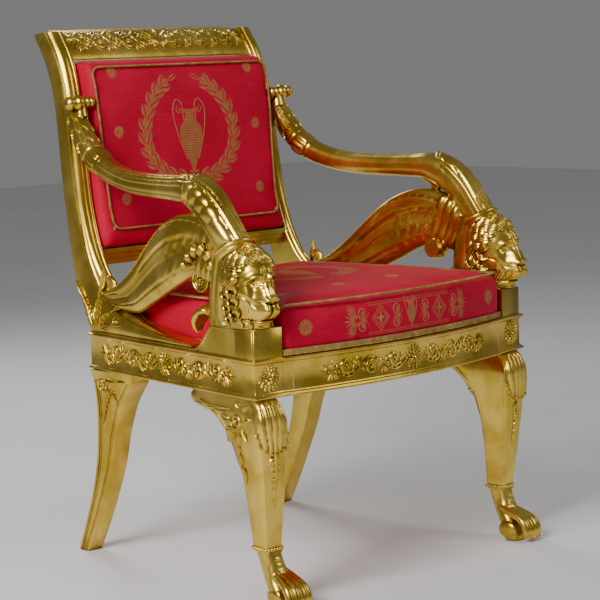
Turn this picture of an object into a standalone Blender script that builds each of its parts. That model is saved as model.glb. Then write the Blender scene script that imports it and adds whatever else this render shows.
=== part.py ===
"""Gilded armchair in the Empire manner: winged lions carry the arms, the seat and back are crimson pads.

Metres, +Z up. The chair faces -Y, left is -X. The origin is on the floor, at the centre of the bounding box.
"""

import math

import bmesh
import bpy
import numpy as np
from mathutils import Euler, Matrix, Vector

# Clearances between neighbouring pieces
GAP = 0.0003
TRIM_GAP = 0.0004
CARVED_GAP = 0.0009

# Seat frame
FRONT_HALF = 0.345
REAR_HALF = 0.280
FRAME_FRONT = -0.275
FRAME_REAR = 0.236
RAIL_BOTTOM = 0.358
RAIL_TOP = 0.424
RAIL_THICK = 0.042
BOW = 0.036
MOULD_HIGH = 0.008
MOULD_PROUD = 0.006
MOULD_SLOPE = 0.002
BLOCK_WIDE = 0.058
BLOCK_DEEP = 0.054
BLOCK_TOP = 0.476
PLINTH_REACH = 0.058
CYMA_REACH = 0.067
SWEEP_BASE = 0.004
RELIEF_HIGH = 0.0035
RELIEF_SUNK = 0.002
FLOWER_RADIUS = 0.023

# Stiles and back
STILE_WIDE = 0.036
STILE_WAIST_IN = 0.007
STILE_TOP_IN = 0.018
STILE_WAIST_Z = 0.530
BACK_TOP = 0.984
CREST_LOW = 0.925
LOWER_RAIL_TOP = 0.575
LOWER_RAIL_HIGH = 0.030
LOWER_RAIL_FRONT = 0.240
LOWER_RAIL_REAR = 0.276
LOWER_RAIL_STEP = 0.004

# Arms
ARM_BREADTH = 1.02
ARM_FLUTE = 0.0022
ARM_LEAF = 0.0045
COLLAR_RADIUS = 0.037
COLLAR_HALF = 0.005

# Winged lions
LION_OUT = 0.002
LION_BACK = 0.029
HEAD_HIGH = 0.140
WING_HALF = 0.0135

# Legs
TOE_RADIUS = 0.0095
TOE_FAN = 0.0125
ANKLE_Z = 0.098
REAR_LEG_FOOT_IN = 0.009

# Upholstery
SEAT_TOP = 0.508
SEAT_CROWN = 0.010
SEAT_SIDE_PLAY = 0.003
SEAT_REAR = 0.196
SEAT_SET_BACK = 0.003
SEAT_EDGE_ROUND = 0.012
PAD_MARGIN_LOW = 0.020
PAD_MARGIN_HIGH = 0.0027
PAD_FACE_LOW = 0.608
PAD_FACE_HIGH = 0.914
PAD_PROUD_LOW = 0.017
PAD_PROUD_HIGH = 0.034
PAD_BACK_AT = 0.052
PAD_EDGE_AT = 0.012
CORD_RADIUS = 0.003
BRAID_HIGH = 0.012
BRAID_THICK = 0.002

# Mesh fineness
CLAY_VOXEL = 0.0035
LION_TRIANGLES = 640
ARM_STATIONS = 19
ARM_SIDES = 12
LEG_SIDES = 12

# Places that follow from the sizes above
STILE_WAIST_OUT = REAR_HALF - STILE_WAIST_IN
STILE_TOP_OUT = REAR_HALF - STILE_TOP_IN
REAR_LEG_FOOT_OUT = REAR_HALF - REAR_LEG_FOOT_IN
LEG_X = FRONT_HALF - BLOCK_WIDE / 2
LION_X = LEG_X + LION_OUT
LION_Y = FRAME_FRONT + LION_BACK

SIDES = {"left": -1, "right": 1}

PARTS = "empire_lion_armchair"
CUTTERS = "armchair_cutters"


# Scene and material helpers

def clear_scene():
    for item in list(bpy.data.objects):
        bpy.data.objects.remove(item, do_unlink=True)


def collection(name, hidden=False):
    made = bpy.data.collections.new(name)
    bpy.context.scene.collection.children.link(made)
    made.hide_render = hidden
    return made


def material(name, colour, roughness, metallic):
    made = bpy.data.materials.new(name)
    made.use_nodes = True
    shader = made.node_tree.nodes["Principled BSDF"]
    shader.inputs["Base Color"].default_value = (*colour, 1.0)
    shader.inputs["Roughness"].default_value = roughness
    shader.inputs["Metallic"].default_value = metallic
    made.diffuse_color = (*colour, 1.0)
    return made


def object_of(name, bm, owner, paint=None):
    """A mesh object made from a bmesh, with its faces turned outwards."""
    bmesh.ops.recalc_face_normals(bm, faces=bm.faces)
    mesh = bpy.data.meshes.new(name)
    bm.to_mesh(mesh)
    bm.free()
    item = bpy.data.objects.new(name, mesh)
    owner.objects.link(item)
    if paint:
        mesh.materials.append(paint)
    return item


def shade(item, degrees):
    item.data.shade_smooth()
    item.data.set_sharp_from_angle(angle=math.radians(degrees))


def finish(item, degrees=35):
    shade(item, degrees)
    return item


def cutter_of(name, bm):
    item = object_of(name, bm, bpy.data.collections[CUTTERS])
    item.hide_render = True
    item.display_type = "WIRE"
    return item


def combine(item, others, operation, tangled=False):
    """Boolean modifiers on item, one for each of the other bodies; tangled ones cross themselves."""
    for other in others:
        step = item.modifiers.new(operation.title() + " " + other.name, "BOOLEAN")
        step.operation = operation
        step.solver = "EXACT"
        step.use_self = tangled
        step.object = other
    return item


def settled(item):
    """The evaluated mesh takes the place of the object's modifiers."""
    graph = bpy.context.evaluated_depsgraph_get()
    mesh = bpy.data.meshes.new_from_object(item.evaluated_get(graph))
    item.modifiers.clear()
    item.data = mesh
    return item


# Shape helpers

def smooth_path(points, count):
    """Catmull-Rom curve through the points, at evenly spaced parameters."""
    p = np.asarray(points, float)
    p = np.vstack([2 * p[0] - p[1], p, 2 * p[-1] - p[-2]])
    where = np.linspace(0, len(p) - 3, count)
    index = np.minimum(where.astype(int), len(p) - 4)
    t = (where - index)[:, None]
    a, b, c, d = p[index], p[index + 1], p[index + 2], p[index + 3]
    return 0.5 * (2 * b + (c - a) * t + (2 * a - 5 * b + 4 * c - d) * t**2 + (3 * b - a - 3 * c + d) * t**3)


def add_loft(bm, rings):
    """Joins equal rings of points into a skin and closes both ends."""
    rows = [[bm.verts.new(point) for point in ring] for ring in rings]
    count = len(rows[0])
    for low, high in zip(rows, rows[1:]):
        for i in range(count):
            j = (i + 1) % count
            bm.faces.new((low[i], low[j], high[j], high[i]))
    bm.faces.new(rows[0][::-1])
    bm.faces.new(rows[-1])


def loft(rings):
    bm = bmesh.new()
    add_loft(bm, rings)
    return bm


def add_ball(bm, centre, radii, turn=(0, 0, 0), fine=10):
    placed = Matrix.Translation(centre) @ Euler(turn).to_matrix().to_4x4() @ Matrix.Diagonal((*radii, 1))
    bmesh.ops.create_uvsphere(bm, u_segments=fine, v_segments=max(5, fine * 2 // 3), radius=1, matrix=placed)


def add_turned(bm, centre, axis, profile, sides=12):
    """A turned body: profile holds (distance along the axis, radius)."""
    axis = Vector(axis).normalized()
    across = axis.orthogonal().normalized()
    other = axis.cross(across)
    rings = []
    for along, radius in profile:
        middle = Vector(centre) + axis * along
        rings.append([
            middle + radius * (math.cos(a) * across + math.sin(a) * other)
            for a in np.linspace(0, 2 * math.pi, sides, endpoint=False)
        ])
    add_loft(bm, rings)


def add_stroke(bm, points, radii, sides=8, flat=1.0, normal=(1, 0, 0)):
    """A tapered round or flattened bar along a path; flat squeezes it along the normal."""
    path = np.asarray(points, float)
    normal = Vector(normal).normalized()
    rings = []
    for i, point in enumerate(path):
        ahead = Vector(path[min(i + 1, len(path) - 1)] - path[max(i - 1, 0)]).normalized()
        side = ahead.cross(normal).normalized()
        lift = side.cross(ahead).normalized()
        rings.append([
            Vector(point) + float(radii[i]) * (math.cos(a) * side + flat * math.sin(a) * lift)
            for a in np.linspace(0, 2 * math.pi, sides, endpoint=False)
        ])
    add_loft(bm, rings)


def add_box(bm, low, high):
    low, high = Vector(low), Vector(high)
    size = high - low
    bmesh.ops.create_cube(bm, size=1, matrix=Matrix.Translation((low + high) / 2) @ Matrix.Diagonal((*size, 1)))


def side_named(side, name):
    return f"{side}_{name}"


# Carved ornament, drawn in a panel's own (along, up) plane

def add_ridge(bm, points, widths, place, high=RELIEF_HIGH):
    """A raised leaf or stem with a sharp crest; place maps (along, up, out) to the chair."""
    path = np.asarray(points, float)
    rings = []
    for i, (u, v) in enumerate(path):
        ahead = path[min(i + 1, len(path) - 1)] - path[max(i - 1, 0)]
        across = np.array([-ahead[1], ahead[0]]) / np.hypot(*ahead) * widths[i]
        crest = high * (0.35 + 0.65 * widths[i] / max(widths))
        rings.append([
            place(u - across[0], v - across[1], -RELIEF_SUNK),
            place(u, v, crest),
            place(u + across[0], v + across[1], -RELIEF_SUNK),
        ])
    add_loft(bm, rings)


def add_palmette(bm, u, v, facing, size, place, lobes=5, rise=1.0):
    """A fan of leaves; facing is the angle of its middle leaf, rise flattens the fan upwards."""
    for k in range(lobes):
        share = k / (lobes - 1) - 0.5
        angle = facing + share * 2.3
        reach = size * (1 - 0.45 * abs(share))
        ends = [(u + r * math.cos(angle + bend), v + rise * r * math.sin(angle + bend))
                for r, bend in ((0.12 * reach, 0), (0.6 * reach, 0.10 * share), (reach, 0.30 * share))]
        add_ridge(bm, ends, (0.045 * size, 0.13 * size, 0.02 * size), place)


def add_scroll(bm, u, v, start, turns, size, place, hand=1, stations=8):
    """A spiral stem that winds in to the point (u, v)."""
    steps = np.linspace(0, 1, stations)
    angles = start + hand * turns * 2 * math.pi * steps
    radii = size * (1 - 0.78 * steps)
    path = [(u + r * math.cos(a), v + r * math.sin(a)) for r, a in zip(radii, angles)]
    add_ridge(bm, path, np.interp(steps, (0, 0.5, 1), (0.05 * size, 0.16 * size, 0.12 * size)), place)


def add_rosette(bm, u, v, radius, place, petals=6, high=RELIEF_HIGH):
    """A round flower with a boss; its petals are waves in the outer rings."""
    count = petals * 2
    angles = np.linspace(0, 2 * math.pi, count, endpoint=False)
    rings = []
    for share, out, wave in ((1.0, -RELIEF_SUNK, 0.08), (0.68, 1.0 * high, 0.04), (0.42, 0.35 * high, 0.0),
                             (0.24, 1.15 * high, 0.0)):
        rings.append([
            place(u + r * math.cos(a), v + r * math.sin(a), out)
            for a, r in zip(angles, radius * share * (1 + wave * np.cos(petals * angles)))
        ])
    add_loft(bm, rings)


# Seat frame

def rail_outer(y):
    """Half width over the side rails' faces at depth y."""
    return FRONT_HALF + (REAR_HALF - FRONT_HALF) * (y - FRAME_FRONT) / (FRAME_REAR - FRAME_FRONT)


def back_way():
    """Unit vector (x, y) along the right side rail, from front to rear."""
    return Vector((REAR_HALF - FRONT_HALF, FRAME_REAR - FRAME_FRONT)).normalized()


def frame_point(inwards, back, z, hand):
    """A point measured along the slanted side from the front outer corner: inwards, back and up."""
    way = back_way()
    x = FRONT_HALF - inwards * way.y + back * way.x
    y = FRAME_FRONT + inwards * way.x + back * way.y
    return (hand * x, y, z)


def block_inner(y):
    """Half width between the corner blocks' inner faces at depth y."""
    way = back_way()
    return FRONT_HALF - BLOCK_WIDE / way.y + (y - FRAME_FRONT) * way.x / way.y


def turned_with_side(point, hand):
    """Turns a point about the corner block's centre, so that it stands square to the side rail."""
    centre = Vector(frame_point(BLOCK_WIDE / 2, BLOCK_DEEP / 2, 0, 1))
    turn = Matrix.Rotation(math.atan2(-back_way().x, back_way().y), 3, "Z")
    moved = centre + turn @ (Vector((hand * point[0], point[1], point[2])) - centre)
    return (hand * moved.x, moved.y, moved.z)


def rail_section(thick):
    """(outwards, up) points of a plain rail with a moulding at the foot and the top."""
    low, high = RAIL_BOTTOM, RAIL_TOP
    lip = MOULD_HIGH + MOULD_SLOPE
    return [(-thick, low), (MOULD_PROUD, low), (MOULD_PROUD, low + MOULD_HIGH), (0, low + lip),
            (0, high - lip), (MOULD_PROUD, high - MOULD_HIGH), (MOULD_PROUD, high), (-thick, high)]


def front_face(x):
    """Depth of the bowed front rail's face at x."""
    corner = frame_point(BLOCK_WIDE, 0, 0, 1)
    return corner[1] - BOW * (1 - (x / corner[0]) ** 2)


def front_rail(owner, paint):
    rings = []
    for share in np.linspace(-1, 1, 13):
        ring = []
        for out, z in rail_section(RAIL_THICK):
            y = front_face(share * block_inner(FRAME_FRONT)) - out
            ring.append((share * (block_inner(y) - GAP), y, z))
        rings.append(ring)
    item = object_of("front_rail", loft(rings), owner, paint)

    def place(u, v, out):
        return (u, front_face(u) - out, v)

    middle = (RAIL_BOTTOM + RAIL_TOP) / 2
    tall = (RAIL_TOP - RAIL_BOTTOM) / 2 - MOULD_HIGH - MOULD_SLOPE
    span = block_inner(FRAME_FRONT)
    carving = bmesh.new()
    add_rosette(carving, 0, middle, 0.88 * tall, place)
    for hand in (-1, 1):
        facing = 0 if hand > 0 else math.pi
        add_palmette(carving, hand * 0.506 * span, middle, facing, 0.064, place, rise=0.38)
        add_scroll(carving, hand * 0.192 * span, middle + 0.001, facing + math.pi, 1.2, 0.90 * tall, place, -hand)
        add_scroll(carving, hand * 0.377 * span, middle - 0.001, facing + math.pi, 1.2, 0.90 * tall, place, hand)
    return finish(combine(item, [cutter_of("front_rail_carving", carving)], "UNION", True))


def cyma_stations():
    """Distances back from the front corner along the hollow curve behind the plinth."""
    flat_end = BLOCK_DEEP + PLINTH_REACH
    return np.linspace(flat_end, flat_end + CYMA_REACH, 6)


def side_rail_top(back):
    """Height of the side rail: the plinth behind the block, then a hollow curve down to the sweep."""
    low = RAIL_TOP + SWEEP_BASE
    t = np.clip((back - BLOCK_DEEP - PLINTH_REACH) / CYMA_REACH, 0, 1)
    return low + (BLOCK_TOP - low) * (0.5 + 0.5 * math.cos(math.pi * t))


def side_length():
    return Vector((REAR_HALF - FRONT_HALF, FRAME_REAR - FRAME_FRONT)).length


def side_rail(side, owner, paint):
    hand = SIDES[side]
    front = BLOCK_DEEP + GAP
    rings = []
    for back in [front, *cyma_stations(), side_length()]:
        top = side_rail_top(back)
        outline = rail_section(RAIL_THICK)[:-1]
        outline += [(0, RAIL_TOP + MOULD_SLOPE), (0, top), (-STILE_WIDE, top)]
        outline += [(-STILE_WIDE, RAIL_TOP), (-RAIL_THICK, RAIL_TOP)]
        rings.append([frame_point(-out, back, z, hand) for out, z in outline])
    item = object_of(side_named(side, "side_rail"), loft(rings), owner, paint)

    def place(u, v, out):
        return frame_point(-out, u, v, hand)

    middle = (RAIL_BOTTOM + RAIL_TOP) / 2
    centre = (front + side_length()) / 2
    tall = (RAIL_TOP - RAIL_BOTTOM) / 2 - MOULD_HIGH - MOULD_SLOPE
    carving = bmesh.new()
    add_palmette(carving, centre, middle - 0.7 * tall, math.pi / 2, 1.5 * tall, place, 3)
    for way in (-1, 1):
        facing = 0 if way > 0 else math.pi
        add_palmette(carving, centre + way * 0.124, middle, facing, 0.062, place, rise=0.38)
        add_scroll(carving, centre + way * 0.040, middle + 0.001, facing + math.pi, 1.2, 0.88 * tall, place, -way)
        add_scroll(carving, centre + way * 0.090, middle - 0.001, facing + math.pi, 1.2, 0.88 * tall, place, way)
    return finish(combine(item, [cutter_of(item.name + "_carving", carving)], "UNION", True))


def back_rail(owner, paint):
    """A plain rail whose ends lie against the slanted side rails."""
    front, rear = FRAME_REAR - RAIL_THICK - MOULD_PROUD, FRAME_REAR - MOULD_PROUD
    ease = 0.002
    outline = [(front, RAIL_BOTTOM), (rear - ease, RAIL_BOTTOM), (rear, RAIL_BOTTOM + ease), (rear, RAIL_TOP - ease),
               (rear - ease, RAIL_TOP), (front, RAIL_TOP)]
    rings = []
    for share in (-1, 1):
        rings.append([(share * (rail_outer(y) - RAIL_THICK / back_way().y - GAP), y, z) for y, z in outline])
    return object_of("back_rail", loft(rings), owner, paint)


# Legs

FRONT_LEG = (
    # height, rear edge, front edge, half width, middle inwards from the block's middle
    (RAIL_BOTTOM, -0.083, -0.279, 0.0270, -0.0010),
    (0.345, -0.083, -0.284, 0.0285, -0.0005),
    (0.334, -0.090, -0.289, 0.0300, 0.0000),
    (0.329, -0.125, -0.291, 0.0305, 0.0000),
    (0.320, -0.160, -0.292, 0.0310, 0.0005),
    (0.300, -0.186, -0.292, 0.0315, 0.0005),
    (0.270, -0.205, -0.290, 0.0305, 0.0015),
    (0.228, -0.220, -0.285, 0.0280, 0.0040),
    (0.180, -0.226, -0.280, 0.0245, 0.0060),
    (0.128, -0.228, -0.274, 0.0200, 0.0075),
    (ANKLE_Z + 0.006, -0.229, -0.271, 0.0185, 0.0085),
    (ANKLE_Z, -0.225, -0.275, 0.0220, 0.0090),
    (ANKLE_Z - 0.006, -0.232, -0.273, 0.0180, 0.0095),
    (0.072, -0.240, -0.279, 0.0185, 0.0110),
    (0.050, -0.252, -0.290, 0.0220, 0.0130),
    (0.028, -0.264, -0.314, 0.0245, 0.0150),
    (0.000, -0.274, -0.318, 0.0245, 0.0160),
)
SHELL_LOW, SHELL_HIGH, SHELL_RIB = 0.262, 0.352, 0.0035
TOE_FRONT = -0.334


def front_leg_ring(row, hand, grow=0.0):
    z, rear, front, half, inside = row
    centre = LEG_X - inside
    ribs = SHELL_RIB if SHELL_LOW < z < SHELL_HIGH else 0.0
    middle, deep = (rear + front) / 2, (rear - front) / 2
    ring = []
    for k in range(LEG_SIDES):
        a = 2 * math.pi * (k + 0.5) / LEG_SIDES
        c, s = math.cos(a), math.sin(a)
        x = math.copysign(abs(c) ** 0.45, c) * (half + grow)
        y = math.copysign(abs(s) ** 0.35, s) * (deep + grow)
        if s < -0.5:
            y -= ribs * (1.0 if k % 2 else 0.2)
        ring.append(turned_with_side((hand * (centre + x), middle + y, z), hand))
    return ring


def corner_block(hand):
    """The square block over the leg, with mouldings that meet the rails'."""
    lip = MOULD_HIGH + MOULD_SLOPE
    rows = [(RAIL_BOTTOM, 1), (RAIL_BOTTOM + MOULD_HIGH, 1), (RAIL_BOTTOM + lip, 0), (RAIL_TOP - lip, 0),
            (RAIL_TOP - MOULD_HIGH, 1), (RAIL_TOP, 1), (RAIL_TOP + MOULD_SLOPE, 0), (BLOCK_TOP, 0)]
    rings = []
    for z, out in rows:
        proud = -MOULD_PROUD * out
        corners = ((BLOCK_WIDE, proud), (proud, proud), (proud, BLOCK_DEEP), (BLOCK_WIDE, BLOCK_DEEP))
        rings.append([frame_point(inwards, back, z, hand) for inwards, back in corners])
    return loft(rings)


def toe(foot_x, k, hand):
    """One of the paw's four toes, counted from the chair's middle outwards."""
    spread = (k - 1.5) * TOE_FAN
    reach = TOE_FRONT + 0.0035 * abs(k - 1.5)
    path = [(foot_x + 0.7 * spread, -0.282, 0.046), (foot_x + 0.9 * spread, reach + 0.022, 0.036),
            (foot_x + spread, reach + 0.003, 0.020), (foot_x + spread, reach + 0.003, 0.004)]
    bm = bmesh.new()
    turned = [turned_with_side((hand * x, y, z), hand) for x, y, z in path]
    add_stroke(bm, turned, (0.006, TOE_RADIUS, TOE_RADIUS, 0.0045), sides=6, normal=(0, -0.8, 1))
    return bm


def front_leg(side, owner, paint):
    hand = SIDES[side]
    rings = [front_leg_ring(row, hand) for row in FRONT_LEG]
    rings[0] = [(x, y, RAIL_BOTTOM - GAP) for x, y, _ in rings[0]]
    item = object_of(side_named(side, "front_leg"), loft(rings), owner, paint)
    extras = [cutter_of(f"{item.name}_toe_{k + 1}", toe(LEG_X - FRONT_LEG[-1][4], k, hand)) for k in range(4)]
    tenon = bmesh.new()
    x, y, _ = frame_point(BLOCK_WIDE / 2, BLOCK_DEEP / 2, 0, hand)
    reach = 0.016
    add_box(tenon, (x - reach, y - reach, RAIL_BOTTOM - 0.010), (x + reach, y + reach, RAIL_BOTTOM + 0.010))
    extras.append(cutter_of(item.name + "_tenon", tenon))
    extras.append(cutter_of(item.name + "_block", corner_block(hand)))
    middle = (RAIL_BOTTOM + RAIL_TOP) / 2
    flowers = bmesh.new()
    add_rosette(flowers, BLOCK_WIDE / 2, middle, FLOWER_RADIUS, lambda u, v, out: frame_point(u, -out, v, hand))
    add_rosette(flowers, BLOCK_DEEP / 2, middle, FLOWER_RADIUS, lambda u, v, out: frame_point(-out, u, v, hand))
    extras.append(cutter_of(item.name + "_rosettes", flowers))
    combine(item, extras, "UNION")
    floor = bmesh.new()
    add_box(floor, (-1, -1, -0.1), (1, 1, 0))
    return finish(combine(item, [cutter_of(item.name + "_floor", floor)], "DIFFERENCE"))


REAR_LEG = (
    # height, rear edge, front edge
    (RAIL_BOTTOM - GAP, 0.224, 0.107),
    (0.339, 0.221, 0.111),
    (0.320, 0.222, 0.129),
    (0.288, 0.225, 0.155),
    (0.233, 0.233, 0.181),
    (0.175, 0.244, 0.199),
    (0.105, 0.267, 0.229),
    (0.055, 0.288, 0.253),
    (0.000, 0.311, 0.282),
)


def rear_leg(side, owner, paint):
    hand = SIDES[side]
    rings = []
    for z, rear, front in REAR_LEG:
        share = z / RAIL_BOTTOM
        outer = REAR_LEG_FOOT_OUT + (rail_outer(front) - 0.002 - REAR_LEG_FOOT_OUT) * share**2
        inner = outer - (0.034 + 0.010 * share)
        ease = 0.003
        corners = [(inner, front + ease), (inner + ease, front), (outer - ease, front), (outer, front + ease),
                   (outer, rear - ease), (outer - ease, rear), (inner + ease, rear), (inner, rear - ease)]
        rings.append([(hand * x, y, z) for x, y in corners])
    item = object_of(side_named(side, "rear_leg"), loft(rings), owner, paint)

    def place(u, v, out):
        share = v / RAIL_BOTTOM
        edge = REAR_LEG_FOOT_OUT + (rail_outer(u) - 0.002 - REAR_LEG_FOOT_OUT) * share**2
        return (hand * (edge + out), u, v)

    carving = bmesh.new()
    add_scroll(carving, 0.206, 0.338, math.pi, 1.1, 0.013, place, 1, 7)
    add_ridge(carving, [(0.196, 0.333), (0.204, 0.308), (0.217, 0.268)], (0.003, 0.006, 0.001), place, 0.003)
    return finish(combine(item, [cutter_of(item.name + "_carving", carving)], "UNION", True))


# Stiles, crest and lower back rail

STILE_FRONT = (
    (-0.100, 0.4335), (-0.006, 0.4415), (0.085, 0.456), (0.141, 0.475), (0.184, 0.497), (0.217, 0.532), (0.244, 0.583),
    (0.264, 0.651), (0.275, 0.721), (0.287, 0.817), (0.298, 0.882), (0.316, 0.934), (0.346, 0.981),
)
STILE_REAR = (
    (-0.100, 0.4283), (0.010, 0.4283), (0.110, 0.4283), (0.195, 0.4283), (0.236, 0.4283), (0.262, 0.474), (0.287, 0.533),
    (0.308, 0.649), (0.318, 0.720), (0.328, 0.810), (0.338, 0.865), (0.358, 0.922), (0.391, 0.976),
)


def stile_outer(y, z):
    """Half width over the stiles: the foot follows the side rail, the upright leans in to the back."""
    foot = rail_outer(y)
    waist = STILE_WAIST_OUT + (STILE_TOP_OUT - STILE_WAIST_OUT) * (z - STILE_WAIST_Z) / (BACK_TOP - STILE_WAIST_Z)
    t = min(1.0, max(0.0, (z - RAIL_TOP) / (STILE_WAIST_Z - RAIL_TOP)))
    ease = t * t * (3 - 2 * t)
    return foot + (waist - foot) * ease


def stile_inner(z):
    """Half width between the uprights at height z."""
    return stile_outer(FRAME_REAR, z) - STILE_WIDE


# (share from the rear edge to the front edge, share of the width inwards from the outer face)
STILE_SECTION = (
    (0.0, 0.92), (0.0, 0.10), (0.10, 0.0), (0.45, -0.05), (0.80, 0.0), (0.88, 0.12), (0.90, 0.22), (1.0, 0.30),
    (1.04, 0.48), (1.0, 0.66), (0.95, 0.72), (1.0, 0.86), (0.92, 1.0), (0.08, 1.0),
)


def tail_start():
    """Depth where the stile's sweep begins, just behind the side rail's hollow curve."""
    return FRAME_FRONT + (cyma_stations()[-1] + STILE_WIDE * -back_way().x) * back_way().y + GAP


def stile_rings(hand, grow=0.0):
    rings = []
    for (fy, fz), (ry, rz) in zip(STILE_FRONT, STILE_REAR):
        fy, ry = max(fy, tail_start()), max(ry, tail_start())
        rz = max(rz, RAIL_TOP + SWEEP_BASE + GAP)
        span = math.hypot(fy - ry, fz - rz)
        ring = []
        for along, inwards in STILE_SECTION:
            along = (along - 0.5) * (1 + 2 * grow / span) + 0.5
            inwards = (inwards - 0.5) * (1 + 2 * grow / STILE_WIDE) + 0.5
            y, z = ry + (fy - ry) * along, rz + (fz - rz) * along
            if grow == 0.0:
                z = max(z, RAIL_TOP + SWEEP_BASE + GAP)
            ring.append((hand * (stile_outer(y, z) - STILE_WIDE * inwards), y, z))
        rings.append(ring)
    return rings


def stile(side, owner, paint):
    hand = SIDES[side]
    item = object_of(side_named(side, "stile"), loft(stile_rings(hand)), owner, paint)

    def place(u, v, out):
        return (hand * (stile_outer(u, v) + 0.001 + out), u, v)

    carving = bmesh.new()
    for start, tip, wide in (((0.214, 0.438), (0.205, 0.478), 0.005), ((0.220, 0.440), (0.226, 0.500), 0.006),
                             ((0.227, 0.446), (0.250, 0.506), 0.005), ((0.208, 0.436), (0.150, 0.446), 0.005)):
        middle = ((start[0] + tip[0]) / 2 + 0.004, (start[1] + tip[1]) / 2 - 0.002)
        add_ridge(carving, [start, middle, tip], (0.002, wide, 0.001), place)
    return finish(combine(item, [cutter_of(item.name + "_carving", carving)], "UNION", True))


CREST_SECTION = (
    (0.318, CREST_LOW), (0.323, 0.937), (0.331, 0.950), (0.343, 0.963), (0.359, 0.974), (0.376, 0.981), (0.390, BACK_TOP),
    (0.401, 0.975), (0.386, 0.965), (0.369, 0.951), (0.356, 0.937), (0.349, CREST_LOW),
)


def crest_face(z):
    """Depth of the crest's hollow front face at height z."""
    face = CREST_SECTION[:7]
    return float(np.interp(z, [p[1] for p in face], [p[0] for p in face]))


def crest_rail(owner, paint):
    rings = [[(share * (stile_inner(z) - GAP), y, z) for y, z in CREST_SECTION] for share in (-1, 0, 1)]
    item = object_of("crest_rail", loft(rings), owner, paint)

    def place(u, v, out):
        lean = 0.6 * out
        return (u, crest_face(v) - out, v + lean)

    carving = bmesh.new()
    middle = 0.948
    span = stile_inner(middle)
    add_palmette(carving, 0, middle - 0.012, math.pi / 2, 0.024, place, 3)
    for hand in (-1, 1):
        facing = 0 if hand > 0 else math.pi
        for k in range(3):
            u = hand * (0.168 + 0.221 * k) * span
            turn = hand if k % 2 else -hand
            add_scroll(carving, u, middle, facing + math.pi, 1.1, 0.0150, place, turn, 8)
        add_palmette(carving, hand * 0.759 * span, middle, facing, 0.030, place, 3)
    return finish(combine(item, [cutter_of("crest_carving", carving)], "UNION", True), 25)


def lower_back_rail(owner, paint):
    low = LOWER_RAIL_TOP - LOWER_RAIL_HIGH
    step = LOWER_RAIL_HIGH / 3
    front, rear = LOWER_RAIL_FRONT, LOWER_RAIL_REAR
    inset, chamfer = LOWER_RAIL_STEP, 0.001
    outline = [(rear, low), (front + 2 * inset, low), (front + 2 * inset, low + step)]
    outline += [(front + inset, low + step + chamfer), (front + inset, low + 2 * step)]
    outline += [(front, low + 2 * step + chamfer), (front, LOWER_RAIL_TOP), (rear, LOWER_RAIL_TOP)]
    rings = [[(share * (stile_inner(z) - GAP), y, z) for y, z in outline] for share in (-1, 1)]
    return object_of("lower_back_rail", loft(rings), owner, paint)


# Arms

ARM_PATH = (
    # distance inside the side rail's outer face, y, z, half height
    (0.0159, 0.284, 0.836, 0.0140),
    (0.0163, 0.265, 0.803, 0.0180),
    (0.0164, 0.241, 0.771, 0.0195),
    (0.0184, 0.209, 0.744, 0.0200),
    (0.0185, 0.161, 0.722, 0.0190),
    (0.0171, 0.094, 0.708, 0.0190),
    (0.0150, 0.024, 0.704, 0.0195),
    (0.0134, -0.050, 0.703, 0.0210),
    (0.0132, -0.096, 0.702, 0.0245),
    (0.0141, -0.134, 0.688, 0.0265),
    (0.0139, -0.164, 0.662, 0.0265),
    (0.0142, -0.190, 0.632, 0.0250),
)
COLLAR_CENTRE = Vector((LION_X, -0.208, 0.606))
COLLAR_AXIS = Vector((0.04, -0.50, -0.86)).normalized()
KNOT_SHARE = 3 / 11
LEAF_SHARE = 7.6 / 11
LEAF_LOBES = 4.5


def arm_radius(share, angle):
    """Swell of the arm's surface at a share of its length: scales, a knot, reeds and then a leaf."""
    if share < KNOT_SHARE - 0.02:
        return 0.6 * ARM_FLUTE * math.cos(5 * angle)
    if share < KNOT_SHARE + 0.02:
        return 1.2 * ARM_FLUTE
    if share < LEAF_SHARE:
        return ARM_FLUTE * 0.7 * math.cos(7 * angle)
    along = (share - LEAF_SHARE) / (1 - LEAF_SHARE)
    puff = abs(math.sin(math.pi * (LEAF_LOBES * along)))
    edge = math.cos(2 * angle)
    return ARM_LEAF * (1 - 0.6 * along) * (0.35 + 0.65 * puff * max(0.0, edge) + 0.4 * max(0.0, -edge))


def arm_rings(hand, grow=0.0, stations=ARM_STATIONS):
    rows = smooth_path([(rail_outer(y) - inside, y, z, half) for inside, y, z, half in ARM_PATH], stations)
    end = COLLAR_CENTRE - COLLAR_AXIS * (COLLAR_HALF + GAP - grow)
    rings = []
    for i, (x, y, z, half) in enumerate(rows):
        centre = Vector((x, y, z))
        ahead = Vector(rows[min(i + 1, stations - 1)][:3] - rows[max(i - 1, 0)][:3]).normalized()
        if i == stations - 1:
            centre, ahead = end, COLLAR_AXIS
        side = Vector((1, 0, 0))
        side = (side - ahead * side.dot(ahead)).normalized()
        lift = ahead.cross(side).normalized()
        share = i / (stations - 1)
        ring = []
        for a in np.linspace(0, 2 * math.pi, ARM_SIDES, endpoint=False):
            swell = arm_radius(share, a) + grow
            c, s = math.cos(a), math.sin(a)
            wide = math.copysign(abs(c) ** 0.8, c) * half * ARM_BREADTH + c * swell
            tall = math.copysign(abs(s) ** 0.8, s) * half + s * swell
            point = centre + side * wide + lift * tall
            ring.append((hand * point.x, point.y, point.z))
        rings.append(ring)
    return rings


KNOB_CENTRE = (REAR_HALF - 0.030, 0.266, 0.848)
KNOB_PROFILE = (
    (-0.0225, 0.005), (-0.017, 0.0095), (-0.010, 0.006), (-0.006, 0.0105), (-0.001, 0.007), (0.009, 0.013),
    (0.019, 0.006), (0.030, 0.012), (0.040, 0.004),
)


# distance inside the side rail's outer face, y, z
ARM_SCROLL = (0.014, -0.102, 0.674)
ARM_SCROLL_RADII = (0.018, 0.013, 0.012)


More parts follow.
